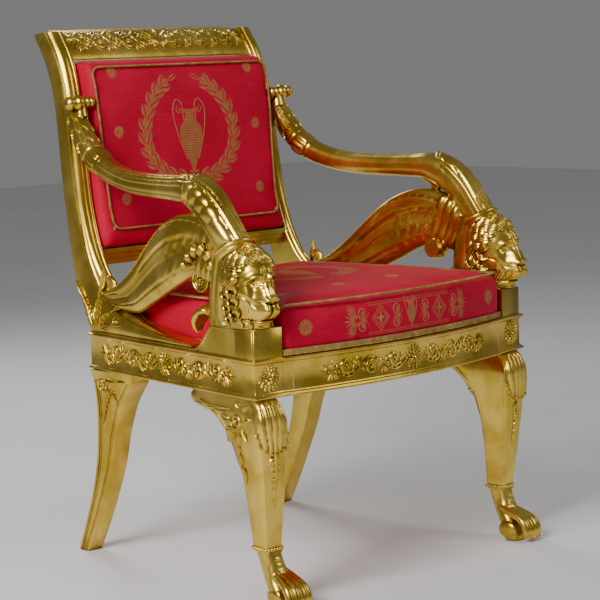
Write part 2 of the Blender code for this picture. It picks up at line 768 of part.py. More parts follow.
def arm_scroll(hand, grow=0.0):
    """The small scroll under the start of the arm's leaf."""
    bm = bmesh.new()
    inside, y, z = ARM_SCROLL
    add_ball(bm, (hand * (rail_outer(y) - inside), y, z), [r + grow for r in ARM_SCROLL_RADII], fine=8)
    return bm


def arm(side, owner, paint):
    hand = SIDES[side]
    item = object_of(side_named(side, "arm"), loft(arm_rings(hand)), owner, paint)
    knob = bmesh.new()
    x, y, z = KNOB_CENTRE
    add_turned(knob, (hand * x, y, z), (hand, 0, 0), KNOB_PROFILE, 8)
    extras = [cutter_of(item.name + "_knob", knob), cutter_of(item.name + "_scroll", arm_scroll(hand))]
    combine(item, extras, "UNION")
    keep_off = cutter_of(item.name + "_stile_room", loft(stile_rings(hand, CARVED_GAP)))
    return finish(combine(item, [keep_off], "DIFFERENCE"))


# Winged lions

WING_TOP = (
    (0.204, 0.502), (0.172, 0.512), (0.136, 0.530), (0.096, 0.560), (0.052, 0.599), (0.012, 0.630), (-0.036, 0.652),
    (-0.084, 0.659), (-0.128, 0.654), (-0.163, 0.636), (-0.186, 0.608),
)
WING_LOW = (
    (0.200, 0.488), (0.174, 0.476), (0.134, 0.470), (0.090, 0.472), (0.048, 0.489), (0.010, 0.506), (-0.030, 0.525),
    (-0.066, 0.542), (-0.096, 0.550), (-0.126, 0.545), (-0.152, 0.540),
)
WING_INSIDE = (0.0181, 0.0201, 0.0207, 0.0188, 0.0174, 0.0165, 0.0166, 0.0207, 0.0233, 0.0238, 0.0227)


def add_wing(clay, hand):
    top = smooth_path(WING_TOP, 15)
    low = smooth_path(WING_LOW, 15)
    middle = smooth_path([(rail_outer(y) - inside,) for (y, _), inside in zip(WING_TOP, WING_INSIDE)], 15)[:, 0]
    rings = []
    for (ty, tz), (ly, lz), x in zip(top, low, middle):
        ring = []
        for a in np.linspace(0, 2 * math.pi, 12, endpoint=False):
            share = 0.5 - 0.5 * math.cos(a)
            swell = 1 + 0.25 * math.sin(3 * math.pi * share)
            out = WING_HALF * math.copysign(abs(math.sin(a)) ** 0.6, math.sin(a)) * swell
            ring.append((hand * (x + out), ty + (ly - ty) * share, tz + (lz - tz) * share))
        rings.append(ring)
    add_loft(clay, rings)
    for share in (0.30, 0.52, 0.74):
        path = [(hand * (x + 0.96 * WING_HALF), ty + (ly - ty) * share, tz + (lz - tz) * share)
                for (ty, tz), (ly, lz), x in zip(top[1:-1], low[1:-1], middle[1:-1])]
        add_stroke(clay, path, np.linspace(0.004, 0.0055, len(path)), 6, 0.8)


def head_point(hand, x, y, z):
    """A place on the lion's head, from shares of its height: x outwards, y backwards, z up."""
    return turned_with_side((hand * (LION_X + x * HEAD_HIGH), LION_Y + y * HEAD_HIGH, BLOCK_TOP + z * HEAD_HIGH), hand)


HEAD_MASSES = (
    # centre and radii as shares of the head's height; the turn is about X
    ((0.0, 0.10, 0.60), (0.25, 0.34, 0.36), 0.0),
    ((0.0, -0.10, 0.42), (0.19, 0.26, 0.20), -0.35),
    ((0.0, -0.33, 0.30), (0.125, 0.10, 0.13), 0.0),
    ((0.0, -0.24, 0.13), (0.12, 0.12, 0.10), 0.0),
    ((0.0, -0.21, 0.56), (0.085, 0.11, 0.19), -0.50),
    ((0.0, -0.40, 0.37), (0.075, 0.045, 0.045), 0.0),
    ((0.0, 0.14, 0.24), (0.21, 0.34, 0.28), 0.0),
)
HEAD_PAIRS = (
    ((0.085, -0.34, 0.275), (0.085, 0.085, 0.095), 0.0),
    ((0.115, -0.20, 0.715), (0.115, 0.085, 0.065), 0.3),
    ((0.185, -0.06, 0.42), (0.09, 0.16, 0.17), 0.0),
    ((0.110, -0.245, 0.595), (0.050, 0.045, 0.036), 0.0),
    ((0.100, 0.02, 0.08), (0.09, 0.20, 0.09), 0.0),
)
MANE_LOCKS = 9


def add_head(clay, hand):
    for (x, y, z), radii, turn in HEAD_MASSES:
        add_ball(clay, head_point(hand, x, y, z), [r * HEAD_HIGH for r in radii], (turn, 0, 0), 12)
    for (x, y, z), radii, turn in HEAD_PAIRS:
        for way in (-1, 1):
            add_ball(clay, head_point(hand, way * x, y, z), [r * HEAD_HIGH for r in radii], (turn, 0, 0), 9)
    for row, (reach, back, size) in enumerate(((0.225, -0.06, 0.062), (0.250, 0.10, 0.072))):
        for k in range(MANE_LOCKS):
            angle = math.radians(-35 + 250 * (k + 0.5 * row) / (MANE_LOCKS - 1 + 0.5 * row))
            x, z = reach * math.cos(angle), 0.55 + 0.36 * math.sin(angle)
            add_ball(clay, head_point(hand, x, back, z), [size * HEAD_HIGH * f for f in (1, 1.15, 1)], fine=7)


def winged_lion(side, owner, paint):
    """Carved as the right-hand lion; the left one is its mirror image."""
    hand = 1
    clay = bmesh.new()
    add_head(clay, hand)
    collar = COLLAR_CENTRE.copy()
    collar.x *= hand
    axis = Vector((hand * COLLAR_AXIS.x, COLLAR_AXIS.y, COLLAR_AXIS.z))
    disc = ((-COLLAR_HALF, 0.030), (-0.002, COLLAR_RADIUS), (0.002, COLLAR_RADIUS), (0.012, 0.030))
    add_turned(clay, collar, axis, disc, 16)
    stem = [(-0.198, 0.034, 0.610), (-0.186, 0.030, 0.570), (-0.178, 0.030, 0.530), (-0.176, 0.032, 0.490),
            (-0.178, 0.034, BLOCK_TOP - 0.004)]
    add_loft(clay, [[(hand * (LION_X - 0.003 + 0.027 * math.cos(a)), y + half * math.sin(a), z)
                     for a in np.linspace(0, 2 * math.pi, 12, endpoint=False)] for y, half, z in stem])
    add_wing(clay, hand)
    volute = (hand * (LION_X - 0.018), -0.110, 0.546)
    ring = ((-0.014, 0.018), (0.004, 0.022), (0.012, 0.020), (0.009, 0.013), (0.014, 0.006))
    add_turned(clay, volute, (hand, 0, 0), ring, 14)
    for y, z, size in ((-0.146, 0.584, 0.011), (-0.134, 0.603, 0.011), (-0.115, 0.602, 0.010), (-0.098, 0.590, 0.008)):
        add_ball(clay, (hand * (LION_X - 0.007), y, z), (0.007, size * 0.8, size * 1.3), (0.5, 0, 0), 8)
    leaf = [(-0.150, 0.520), (-0.128, 0.516), (-0.112, 0.500), (-0.106, 0.478), (-0.108, 0.462)]
    swell = (0.009, 0.013, 0.015, 0.015, 0.014, 0.012, 0.009, 0.005)
    add_stroke(clay, [(hand * LION_X, y, z) for y, z in smooth_path(leaf, len(swell))], swell, 8)
    add_ball(clay, (hand * (rail_outer(0.180) - 0.019), 0.180, 0.519), (0.010, 0.013, 0.013), fine=8)
    raw = object_of(side_named(side, "winged_lion"), clay, owner, paint)
    fuse = raw.modifiers.new("Fuse the masses", "REMESH")
    fuse.mode = "VOXEL"
    fuse.voxel_size = CLAY_VOXEL
    settled(raw)
    fewer = raw.modifiers.new("Fewer faces", "DECIMATE")
    fewer.ratio = LION_TRIANGLES / (2 * len(raw.data.polygons))
    settled(raw)
    room = bmesh.new()
    rings = []
    stations = [-0.1, *cyma_stations(), side_length()]
    for back in stations:
        top = side_rail_top(back) + TRIM_GAP
        outline = ((0.12, RAIL_BOTTOM), (-0.05, RAIL_BOTTOM), (-0.05, top), (0.12, top))
        rings.append([frame_point(inwards, back, z, hand) for inwards, z in outline])
    add_loft(room, rings)
    cuts = [
        cutter_of(raw.name + "_rail_room", room),
        cutter_of(raw.name + "_arm_room", loft(arm_rings(hand, TRIM_GAP))),
        cutter_of(raw.name + "_scroll_room", arm_scroll(hand, TRIM_GAP)),
        cutter_of(raw.name + "_stile_room", loft(stile_rings(hand, CARVED_GAP))),
    ]
    settled(combine(raw, cuts, "DIFFERENCE"))
    if side == "left":
        raw.data.transform(Matrix.Diagonal((-1, 1, 1, 1)))
        raw.data.flip_normals()
    return finish(raw, 50)


# Upholstery

def seat_half(y):
    """Half width of the seat pad: between the blocks in front, then inside the side rails."""
    between_blocks = block_inner(min(y, FRAME_FRONT + BLOCK_DEEP)) - SEAT_SIDE_PLAY
    sweep = float(np.interp(y, [p[0] for p in STILE_FRONT], [p[1] for p in STILE_FRONT]))
    return min(between_blocks, stile_outer(y, min(sweep, SEAT_TOP)) - STILE_WIDE - SEAT_SIDE_PLAY)


def seat_front(x):
    return front_face(x) + SEAT_SET_BACK


def seat_outline(inset=0.0, per_side=4, across=8):
    """The pad's edge seen from above, anticlockwise from the rear left corner."""
    front_y = seat_front(seat_half(FRAME_FRONT)) + inset
    ys = [*np.linspace(SEAT_REAR - inset, FRAME_FRONT + BLOCK_DEEP + inset, per_side), front_y]
    left = [(-(seat_half(y) - inset), y) for y in ys]
    half = seat_half(front_y) - inset
    front = [(x, seat_front(x) + inset) for x in np.linspace(-half, half, across)[1:-1]]
    right = [(-x, y) for x, y in reversed(left)]
    return left + front + right


def seat_pad(owner, paint):
    base = RAIL_TOP + GAP
    rings = []
    for z, inset in ((base, 0.003), (base + 0.006, 0.0), (SEAT_TOP - SEAT_EDGE_ROUND, 0.0), (SEAT_TOP - 0.003, 0.004),
                     (SEAT_TOP, SEAT_EDGE_ROUND), (SEAT_TOP + SEAT_CROWN, 0.09)):
        rings.append([(x, y, z) for x, y in seat_outline(inset)])
    return finish(object_of("seat_pad", loft(rings), owner, paint))


def band(name, outline, section, owner, paint):
    """A closed band of one section along a level outline; section holds (outwards, up)."""
    count = len(outline)
    bm = bmesh.new()
    rings = []
    for i, (x, y) in enumerate(outline):
        before, after = Vector(outline[i - 1]), Vector(outline[(i + 1) % count])
        ahead = (after - before).normalized()
        out = Vector((-ahead.y, ahead.x)) * -1
        rings.append([bm.verts.new((x + out.x * d, y + out.y * d, z)) for d, z in section])
    for a, b in zip(rings, rings[1:] + rings[:1]):
        for i in range(len(section)):
            j = (i + 1) % len(section)
            bm.faces.new((a[i], a[j], b[j], b[i]))
    return finish(object_of(name, bm, owner, paint))


def round_section(out, up, radius, sides=6):
    angles = np.linspace(0, 2 * math.pi, sides, endpoint=False)
    return [(out + radius * math.cos(a), up + radius * math.sin(a)) for a in angles]


def seat_cord(owner, paint):
    lift = SEAT_TOP + 0.0005
    section = round_section(-0.0045 + CORD_RADIUS + TRIM_GAP, lift + 0.0005, CORD_RADIUS)
    return band("seat_cord", seat_outline(0.002), section, owner, paint)


def seat_braid(owner, paint):
    low = RAIL_TOP + 2 * GAP
    section = [(TRIM_GAP, low), (BRAID_THICK, low), (BRAID_THICK, low + BRAID_HIGH), (TRIM_GAP, low + BRAID_HIGH)]
    return band("seat_braid", seat_outline(), section, owner, paint)


def pad_front(z):
    """Depth of the back pad's face: it leans and bends with the stiles."""
    ys = [p[0] for p in STILE_FRONT[5:]]
    zs = [p[1] for p in STILE_FRONT[5:]]
    lean = np.interp(z, (PAD_FACE_LOW, PAD_FACE_HIGH), (PAD_PROUD_LOW, PAD_PROUD_HIGH))
    return float(np.interp(z, zs, ys) - lean)


def pad_face_half(z):
    return stile_inner(z) - float(np.interp(z, (PAD_FACE_LOW, PAD_FACE_HIGH), (PAD_MARGIN_LOW, PAD_MARGIN_HIGH)))


def pad_ring(half_low, half_high, low, high, back, steps=5):
    zs = np.linspace(low, high, steps)
    halves = np.linspace(half_low, half_high, steps)
    right = [(h, pad_front(z) + back, z) for z, h in zip(zs, halves)]
    left = [(-x, y, z) for x, y, z in reversed(right)]
    return right + left


def back_pad(owner, paint):
    low, high = LOWER_RAIL_TOP + 0.0015, CREST_LOW - 0.001
    wide_low, wide_high = stile_inner(low) - 0.0015, stile_inner(high) - 0.0015
    rings = [
        pad_ring(wide_low, wide_high, low, high, PAD_BACK_AT),
        pad_ring(wide_low, wide_high, low, high, PAD_EDGE_AT),
        pad_ring(pad_face_half(PAD_FACE_LOW), pad_face_half(PAD_FACE_HIGH), PAD_FACE_LOW, PAD_FACE_HIGH, 0.0),
    ]
    return finish(object_of("back_pad", loft(rings), owner, paint), 20)


def back_cord(owner, paint):
    inset = 0.004
    zs = np.linspace(PAD_FACE_LOW + inset, PAD_FACE_HIGH - inset, 5)
    halves = np.linspace(pad_face_half(PAD_FACE_LOW) - inset, pad_face_half(PAD_FACE_HIGH) - inset, len(zs))
    loop = list(zip(halves, zs)) + list(zip(-halves[::-1], zs[::-1]))
    count = len(loop)
    bm = bmesh.new()
    rings = []
    for i, (x, z) in enumerate(loop):
        ahead = (Vector(loop[(i + 1) % count]) - Vector(loop[i - 1])).normalized()
        out = Vector((ahead.y, -ahead.x))
        y = pad_front(z) - CORD_RADIUS - TRIM_GAP
        section = round_section(0, 0, CORD_RADIUS)
        rings.append([bm.verts.new((x + out.x * d, y + e, z + out.y * d)) for d, e in section])
    for a, b in zip(rings, rings[1:] + rings[:1]):
        for i in range(len(a)):
            j = (i + 1) % len(a)
            bm.faces.new((a[i], a[j], b[j], b[i]))
    return finish(object_of("back_cord", bm, owner, paint))


def stand_in_middle(items):
    """Moves everything along Y so that the origin is under the middle of the bounding box."""
    bpy.context.view_layer.update()
    graph = bpy.context.evaluated_depsgraph_get()
    ys = []
    for item in items:
        shape = item.evaluated_get(graph)
        ys += [(shape.matrix_world @ Vector(corner)).y for corner in shape.bound_box]
    shift = -(min(ys) + max(ys)) / 2
    for item in bpy.data.objects:
        item.location.y += shift
    bpy.context.view_layer.update()


def main():
    clear_scene()
    parts = collection(PARTS)
    collection(CUTTERS, hidden=True)
    gold = material("gilding", (0.72, 0.50, 0.16), 0.32, 1.0)
    silk = material("crimson_silk", (0.55, 0.02, 0.06), 0.45, 0.0)
    cord = material("gold_cord", (0.70, 0.52, 0.20), 0.55, 0.0)
    items = [front_rail(parts, gold), back_rail(parts, gold), crest_rail(parts, gold), lower_back_rail(parts, gold)]
    for side in SIDES:
        for build in (side_rail, front_leg, rear_leg, stile, arm, winged_lion):
            items.append(build(side, parts, gold))
    items += [seat_pad(parts, silk), back_pad(parts, silk)]
    items += [seat_cord(parts, cord), seat_braid(parts, cord), back_cord(parts, cord)]
    stand_in_middle(items)


if __name__ == "__main__":
    main()
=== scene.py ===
"""Dresses the gilded Empire armchair: carved gilding, silk pads, cords, floor, light and camera.

Lengths are metres. The chair faces -Y. Shapes are drawn in the workshop frame, in which the seat frame's
front corners are at depth FRAME_FRONT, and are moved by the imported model's own shift when their meshes are
made.
"""

import math

import bmesh
import bpy
import numpy as np
from bpy.props import FloatProperty, FloatVectorProperty, IntProperty, PointerProperty
from mathutils import Matrix, Vector
from mathutils.bvhtree import BVHTree


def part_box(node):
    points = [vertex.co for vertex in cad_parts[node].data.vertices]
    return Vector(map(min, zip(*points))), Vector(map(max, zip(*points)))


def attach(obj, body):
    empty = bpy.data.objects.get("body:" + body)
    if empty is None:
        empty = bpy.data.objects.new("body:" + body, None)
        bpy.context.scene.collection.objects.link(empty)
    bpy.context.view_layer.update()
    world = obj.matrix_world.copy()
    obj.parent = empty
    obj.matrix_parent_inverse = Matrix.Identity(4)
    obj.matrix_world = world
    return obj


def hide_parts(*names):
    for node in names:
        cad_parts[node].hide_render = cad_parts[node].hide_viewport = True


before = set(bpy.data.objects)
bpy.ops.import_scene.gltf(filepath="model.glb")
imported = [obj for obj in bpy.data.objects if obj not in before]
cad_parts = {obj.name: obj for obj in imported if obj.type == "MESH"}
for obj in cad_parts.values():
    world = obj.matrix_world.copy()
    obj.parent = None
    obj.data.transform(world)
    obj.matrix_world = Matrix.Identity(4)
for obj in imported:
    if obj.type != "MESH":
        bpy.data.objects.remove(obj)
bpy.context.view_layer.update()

bl_info = {
    "name": "Empire Lion Armchair",
    "version": (1, 0, 0),
    "blender": (4, 5, 0),
    "location": "View3D > Sidebar > Armchair",
    "description": "Gilding, upholstery, cords and a studio for the lion armchair",
    "category": "Object",
}

# Sizes shared with the solids, in the workshop frame
FRONT_HALF, REAR_HALF = 0.345, 0.280
FRAME_FRONT, FRAME_REAR = -0.275, 0.236
RAIL_BOTTOM, RAIL_TOP, RAIL_THICK = 0.358, 0.424, 0.042
BOW = 0.036
MOULD_PROUD = 0.006
BLOCK_WIDE, BLOCK_DEEP, BLOCK_TOP = 0.058, 0.054, 0.476
PLINTH_REACH, CYMA_REACH, SWEEP_BASE = 0.058, 0.067, 0.004
STILE_WIDE, STILE_WAIST_Z = 0.036, 0.530
STILE_WAIST_OUT, STILE_TOP_OUT = REAR_HALF - 0.007, REAR_HALF - 0.018
BACK_TOP, CREST_LOW = 0.984, 0.925
LION_X, LION_Y, HEAD_HIGH = FRONT_HALF - BLOCK_WIDE / 2 + 0.002, FRAME_FRONT + 0.029, 0.140
WING_HALF = 0.0135
ANKLE_Z = 0.098
REAR_LEG_FOOT_OUT = REAR_HALF - 0.009
SEAT_TOP, SEAT_CROWN, SEAT_REAR = 0.508, 0.010, 0.196
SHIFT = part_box("back_rail")[1].y - (FRAME_REAR - MOULD_PROUD)
SIDES = {"left": -1, "right": 1}

RELIEF = 0.0034
CARVED = 0.0044
SUNK = 0.0015


# Curves and panels

def smooth_path(points, count):
    """Catmull-Rom curve through the points, at evenly spaced parameters."""
    p = np.asarray(points, float)
    p = np.vstack([2 * p[0] - p[1], p, 2 * p[-1] - p[-2]])
    where = np.linspace(0, len(p) - 3, count)
    index = np.minimum(where.astype(int), len(p) - 4)
    t = (where - index)[:, None]
    a, b, c, d = p[index], p[index + 1], p[index + 2], p[index + 3]
    return 0.5 * (2 * b + (c - a) * t + (2 * a - 5 * b + 4 * c - d) * t**2 + (3 * b - a - 3 * c + d) * t**3)


def smooth_step(low, high, x):
    t = np.clip((np.asarray(x, float) - low) / (high - low), 0, 1)
    return t * t * (3 - 2 * t)


def stacked(*parts):
    return np.stack(np.broadcast_arrays(*parts), -1)


def unit(v):
    return v / (np.linalg.norm(v, axis=-1, keepdims=True) + 1e-12)


def around(count):
    """Evenly spaced angles of a full turn."""
    return np.linspace(0, 2 * math.pi, count, endpoint=False)


def squared(wave, power):
    """A sine or cosine raised to a power with its sign kept, for sections between an ellipse and a box."""
    return np.sign(wave) * np.abs(wave) ** power


WAY = unit(np.array([REAR_HALF - FRONT_HALF, FRAME_REAR - FRAME_FRONT]))
SIDE_LENGTH = math.hypot(REAR_HALF - FRONT_HALF, FRAME_REAR - FRAME_FRONT)


def frame_point(inwards, back, z, hand):
    """A point measured along the slanted side from the front outer corner: inwards, back and up."""
    x = FRONT_HALF - inwards * WAY[1] + back * WAY[0]
    y = FRAME_FRONT + inwards * WAY[0] + back * WAY[1]
    return stacked(hand * x, y, z)


def rail_outer(y):
    return FRONT_HALF + (REAR_HALF - FRONT_HALF) * (y - FRAME_FRONT) / (FRAME_REAR - FRAME_FRONT)


def block_inner(y):
    return FRONT_HALF - BLOCK_WIDE / WAY[1] + (y - FRAME_FRONT) * WAY[0] / WAY[1]


def turned_with_side(points, hand):
    """Turns points about the corner block's centre, so that they stand square to the side rail."""
    centre = frame_point(BLOCK_WIDE / 2, BLOCK_DEEP / 2, 0.0, 1)
    c, s = WAY[1], -WAY[0]
    p = np.asarray(points, float)
    x, y = hand * p[..., 0] - centre[0], p[..., 1] - centre[1]
    return stacked(hand * (centre[0] + c * x - s * y), centre[1] + s * x + c * y, p[..., 2])


def front_face(x):
    corner = frame_point(BLOCK_WIDE, 0.0, 0.0, 1)
    return corner[1] - BOW * (1 - (x / corner[0]) ** 2)


def side_rail_top(back):
    low = RAIL_TOP + SWEEP_BASE
    t = np.clip((np.asarray(back) - BLOCK_DEEP - PLINTH_REACH) / CYMA_REACH, 0, 1)
    return low + (BLOCK_TOP - low) * (0.5 + 0.5 * np.cos(math.pi * t))


# Meshes

class Pile:
    """Points and faces gathered for one piece."""

    def __init__(self):
        self.points, self.faces, self.count = [], [], 0

    def add(self, points, faces):
        points = np.asarray(points, float).reshape(-1, 3)
        self.faces += [[self.count + i for i in face] for face in faces]
        self.points.append(points)
        self.count += len(points)

    def rings(self, rings, caps=True, loop=False):
        """Skins closed rings of equal length; loop joins the last ring to the first."""
        rings = np.asarray(rings, float)
        n, m = rings.shape[:2]
        index = np.arange(n * m).reshape(n, m)
        rows = np.vstack([index, index[:1]]) if loop else index
        a, b = rows[:-1], rows[1:]
        quads = np.stack([a, np.roll(a, -1, 1), np.roll(b, -1, 1), b], -1).reshape(-1, 4).tolist()
        if caps and not loop:
            quads += [index[0][::-1].tolist(), index[-1].tolist()]
        self.add(rings.reshape(-1, 3), quads)

    def ball(self, centre, radii, turn=None, fine=16):
        """An ellipsoid, turned by a matrix; its poles are on Z."""
        a = around(fine)
        e = np.linspace(-math.pi / 2, math.pi / 2, fine // 2 + 1)[1:-1]
        flat, high = np.cos(e)[:, None], np.sin(e)[:, None]
        ring = stacked(np.cos(a) * flat, np.sin(a) * flat, high + 0 * a)
        body = ring.reshape(-1, 3)
        body = np.vstack([body, [(0, 0, -1), (0, 0, 1)]]) * np.asarray(radii)
        if turn is not None:
            body = body @ np.asarray(turn).T
        n, m = len(e), fine
        index = np.arange(n * m).reshape(n, m)
        low, high = index[:-1], index[1:]
        faces = np.stack([low, np.roll(low, -1, 1), np.roll(high, -1, 1), high], -1).reshape(-1, 4).tolist()
        faces += [[n * m, index[0][(i + 1) % m], index[0][i]] for i in range(m)]
        faces += [[n * m + 1, index[-1][i], index[-1][(i + 1) % m]] for i in range(m)]
        self.add(body + np.asarray(centre), faces)

    def tube(self, path, radii, sides=12, flat=1.0, normal=(1, 0, 0)):
        """A tapered bar along a path; flat squeezes it along the normal."""
        path, radii = np.asarray(path, float), np.asarray(radii, float)
        ahead = unit(np.gradient(path, axis=0))
        side = unit(np.cross(ahead, np.asarray(normal, float)))
        lift = np.cross(side, ahead)
        a = around(sides)[None, :, None]
        r = radii[:, None, None]
        self.rings(path[:, None] + r * (np.cos(a) * side[:, None] + flat * np.sin(a) * lift[:, None]))

    def turned(self, centre, axis, profile, sides=40):
        """A turned body: profile holds (distance along the axis, radius)."""
        axis = unit(np.asarray(axis, float))
        across = unit(np.cross(axis, (0.3, 0.5, 0.9)))
        other = np.cross(axis, across)
        profile = np.asarray(profile, float)
        a = around(sides)[None, :, None]
        along, radius = profile[:, 0, None, None], profile[:, 1, None, None]
        self.rings(np.asarray(centre) + along * axis + radius * (np.cos(a) * across + np.sin(a) * other))

    def join(self, item):
        """Takes in a mesh object's faces and removes the object."""
        mesh = item.data
        co = np.empty(len(mesh.vertices) * 3)
        mesh.vertices.foreach_get("co", co)
        self.add(co.reshape(-1, 3), [list(p.vertices) for p in mesh.polygons])
        bpy.data.objects.remove(item)


def mesh_object(name, pile, moved=0.0):
    mesh = bpy.data.meshes.new(name)
    points = np.vstack(pile.points)
    points[:, 1] += moved
    mesh.from_pydata(points.tolist(), [], pile.faces)
    bm = bmesh.new()
    bm.from_mesh(mesh)
    bmesh.ops.recalc_face_normals(bm, faces=bm.faces)
    bm.to_mesh(mesh)
    bm.free()
    item = bpy.data.objects.new(name, mesh)
    bpy.context.scene.collection.objects.link(item)
    return item


def flattened(item):
    """The evaluated mesh takes the place of the object's modifiers, or of a curve."""
    graph = bpy.context.evaluated_depsgraph_get()
    mesh = bpy.data.meshes.new_from_object(item.evaluated_get(graph))
    name = item.name
    bpy.data.objects.remove(item)
    made = bpy.data.objects.new(name, mesh)
    bpy.context.scene.collection.objects.link(made)
    return made


def fitted(item, paint, nodes=(), degrees=60):
    """Gives a finished piece its paint, shading and body, and hides the nodes that it stands for."""
    item.data.materials.clear()
    item.data.materials.append(bpy.data.materials[paint])
    item.data.shade_smooth()
    item.data.set_sharp_from_angle(angle=math.radians(degrees))
    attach(item, "root")
    if nodes:
        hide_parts(*nodes)
    return item


def gilded(name, pile, nodes, degrees=40):
    return fitted(mesh_object(name, pile, SHIFT), "carved_gilding", nodes, degrees)


def clay(pile, voxel, smoothing=2):
    """Fuses overlapping masses into one skin and eases their joins; returns it as a pile."""
    item = mesh_object("clay", pile)
    fuse = item.modifiers.new("Fuse", "REMESH")
    fuse.mode = "VOXEL"
    fuse.voxel_size = voxel
    ease = item.modifiers.new("Ease", "SMOOTH")
    ease.factor = 0.5
    ease.iterations = smoothing
    made = Pile()
    made.join(flattened(item))
    return made


# Carved ornament; place maps arrays of (along, up, out) on a panel to points

def stroke(pile, path, widths, heights, place, vein=0.0, sections=7):
    """A carved stem or leaf along a path drawn on a panel."""
    p = np.asarray(path, float)
    ahead = unit(np.gradient(p, axis=0))
    t = np.linspace(-1, 1, sections)
    arch = np.sqrt(1 - t**2) * (1 - vein * np.exp(-((t / 0.3) ** 2)))
    w, h = np.asarray(widths)[:, None], np.asarray(heights)[:, None]
    u = p[:, :1] - ahead[:, 1:] * w * t
    v = p[:, 1:] + ahead[:, :1] * w * t
    pile.rings(place(u, v, -SUNK + (h + SUNK) * arch))


def leaf(pile, u, v, angle, length, width, place, bend=0.0, high=RELIEF, vein=0.35, stations=9):
    """A pointed leaf that starts at (u, v) and turns by bend along its length."""
    s = np.linspace(0, 1, stations)
    turn = angle + bend * s
    path = np.cumsum(stacked(np.cos(turn), np.sin(turn)) * length / (stations - 1), 0)
    path += np.array([u, v]) - path[0]
    widths = width * np.sin(math.pi * (0.06 + 0.92 * s**0.85)) ** 0.8
    heights = high * (0.35 + 0.65 * np.sin(math.pi * s**0.8))
    stroke(pile, path, widths, heights, place, vein)


def dome(pile, u, v, radius, place, high=RELIEF, sides=12):
    a = around(sides)
    e = np.radians((-20, 15, 45, 75))[:, None]
    r = radius * np.cos(e)
    pile.rings(place(u + r * np.cos(a), v + r * np.sin(a), high * np.sin(e) + 0 * a))


def scroll(pile, u, v, start, turns, size, place, hand=1, thick=0.17, high=RELIEF):
    """A spiral stem that winds in to a boss at (u, v)."""
    s = np.linspace(0, 1, int(16 * turns) + 6)
    angle = start + hand * turns * 2 * math.pi * s
    radius = size * (1 - 0.80 * s)
    path = stacked(u + radius * np.cos(angle), v + radius * np.sin(angle))
    widths = size * np.interp(s, (0, 0.35, 0.9, 1), (0.05, thick, 0.7 * thick, 0.5 * thick))
    stroke(pile, path, widths, high * np.interp(s, (0, 0.3, 1), (0.5, 0.9, 0.8)), place)
    dome(pile, u, v, 0.20 * size, place, high, 10)


def palmette(pile, u, v, facing, size, place, lobes=7, spread=2.5, rise=1.0, high=RELIEF):
    """A fan of curling leaves with a pair of small scrolls at its root."""
    for k in range(lobes):
        share = k / (lobes - 1) - 0.5
        angle = facing + share * spread
        reach = size * (1 - 0.55 * abs(share))
        end = rise + (1 - rise) * abs(math.cos(angle))
        leaf(pile, u, v, angle, reach * end, 0.085 * size, place, 0.9 * share, high * (1 - 0.3 * abs(share)),
             0.25)
    for hand in (-1, 1):
        a = facing + hand * 1.9
        r = 0.20 * size
        scroll(pile, u + r * math.cos(a), v + rise * r * math.sin(a), facing, 0.9, 0.15 * size, place, hand,
               0.3, high)


def acanthus(pile, u, v, angle, length, width, place, bend=0.0, high=RELIEF, pairs=4):
    """A lobed leaf: a spine, pairs of curling side lobes and a pointed tip."""
    s = np.linspace(0, 1, 17)
    turn = angle + bend * s
    path = np.cumsum(stacked(np.cos(turn), np.sin(turn)) * length / 16, 0) + (u, v)
    stroke(pile, path, 0.16 * width * (1.1 - 0.8 * s), high * (1.2 - 0.5 * s), place)
    for k in range(pairs):
        at = int(1 + 12 * k / pairs)
        size = width * (1 - 0.12 * k)
        for way in (-1, 1):
            leaf(pile, *path[at], turn[at] + way * (1.00 - 0.12 * k), size, 0.33 * size, place, -way * 1.1,
                 high, 0.45, 9)
    leaf(pile, *path[10], turn[10], 0.46 * length, 0.32 * width, place, 0.3 * bend, 1.1 * high, 0.45, 9)


def rosette(pile, u, v, radius, place, petals=8, high=RELIEF):
    """Three rings of petals round a boss, with a scalloped edge."""
    rings = ((petals + 4, 0.66, 0.34, 0.14, 0.65), (petals + 2, 0.38, 0.46, 0.16, 0.95),
             (petals, 0.10, 0.42, 0.14, 1.25))
    for row, (count, start, reach, wide, lift) in enumerate(rings):
        for k in range(count):
            turn = 2 * math.pi * (k + 0.5 * (row % 2)) / count
            leaf(pile, u + start * radius * math.cos(turn), v + start * radius * math.sin(turn), turn,
                 reach * radius, wide * radius, place, 0, high * lift, 0.35, 7)
    dome(pile, u, v, 0.15 * radius, place, 1.6 * high)


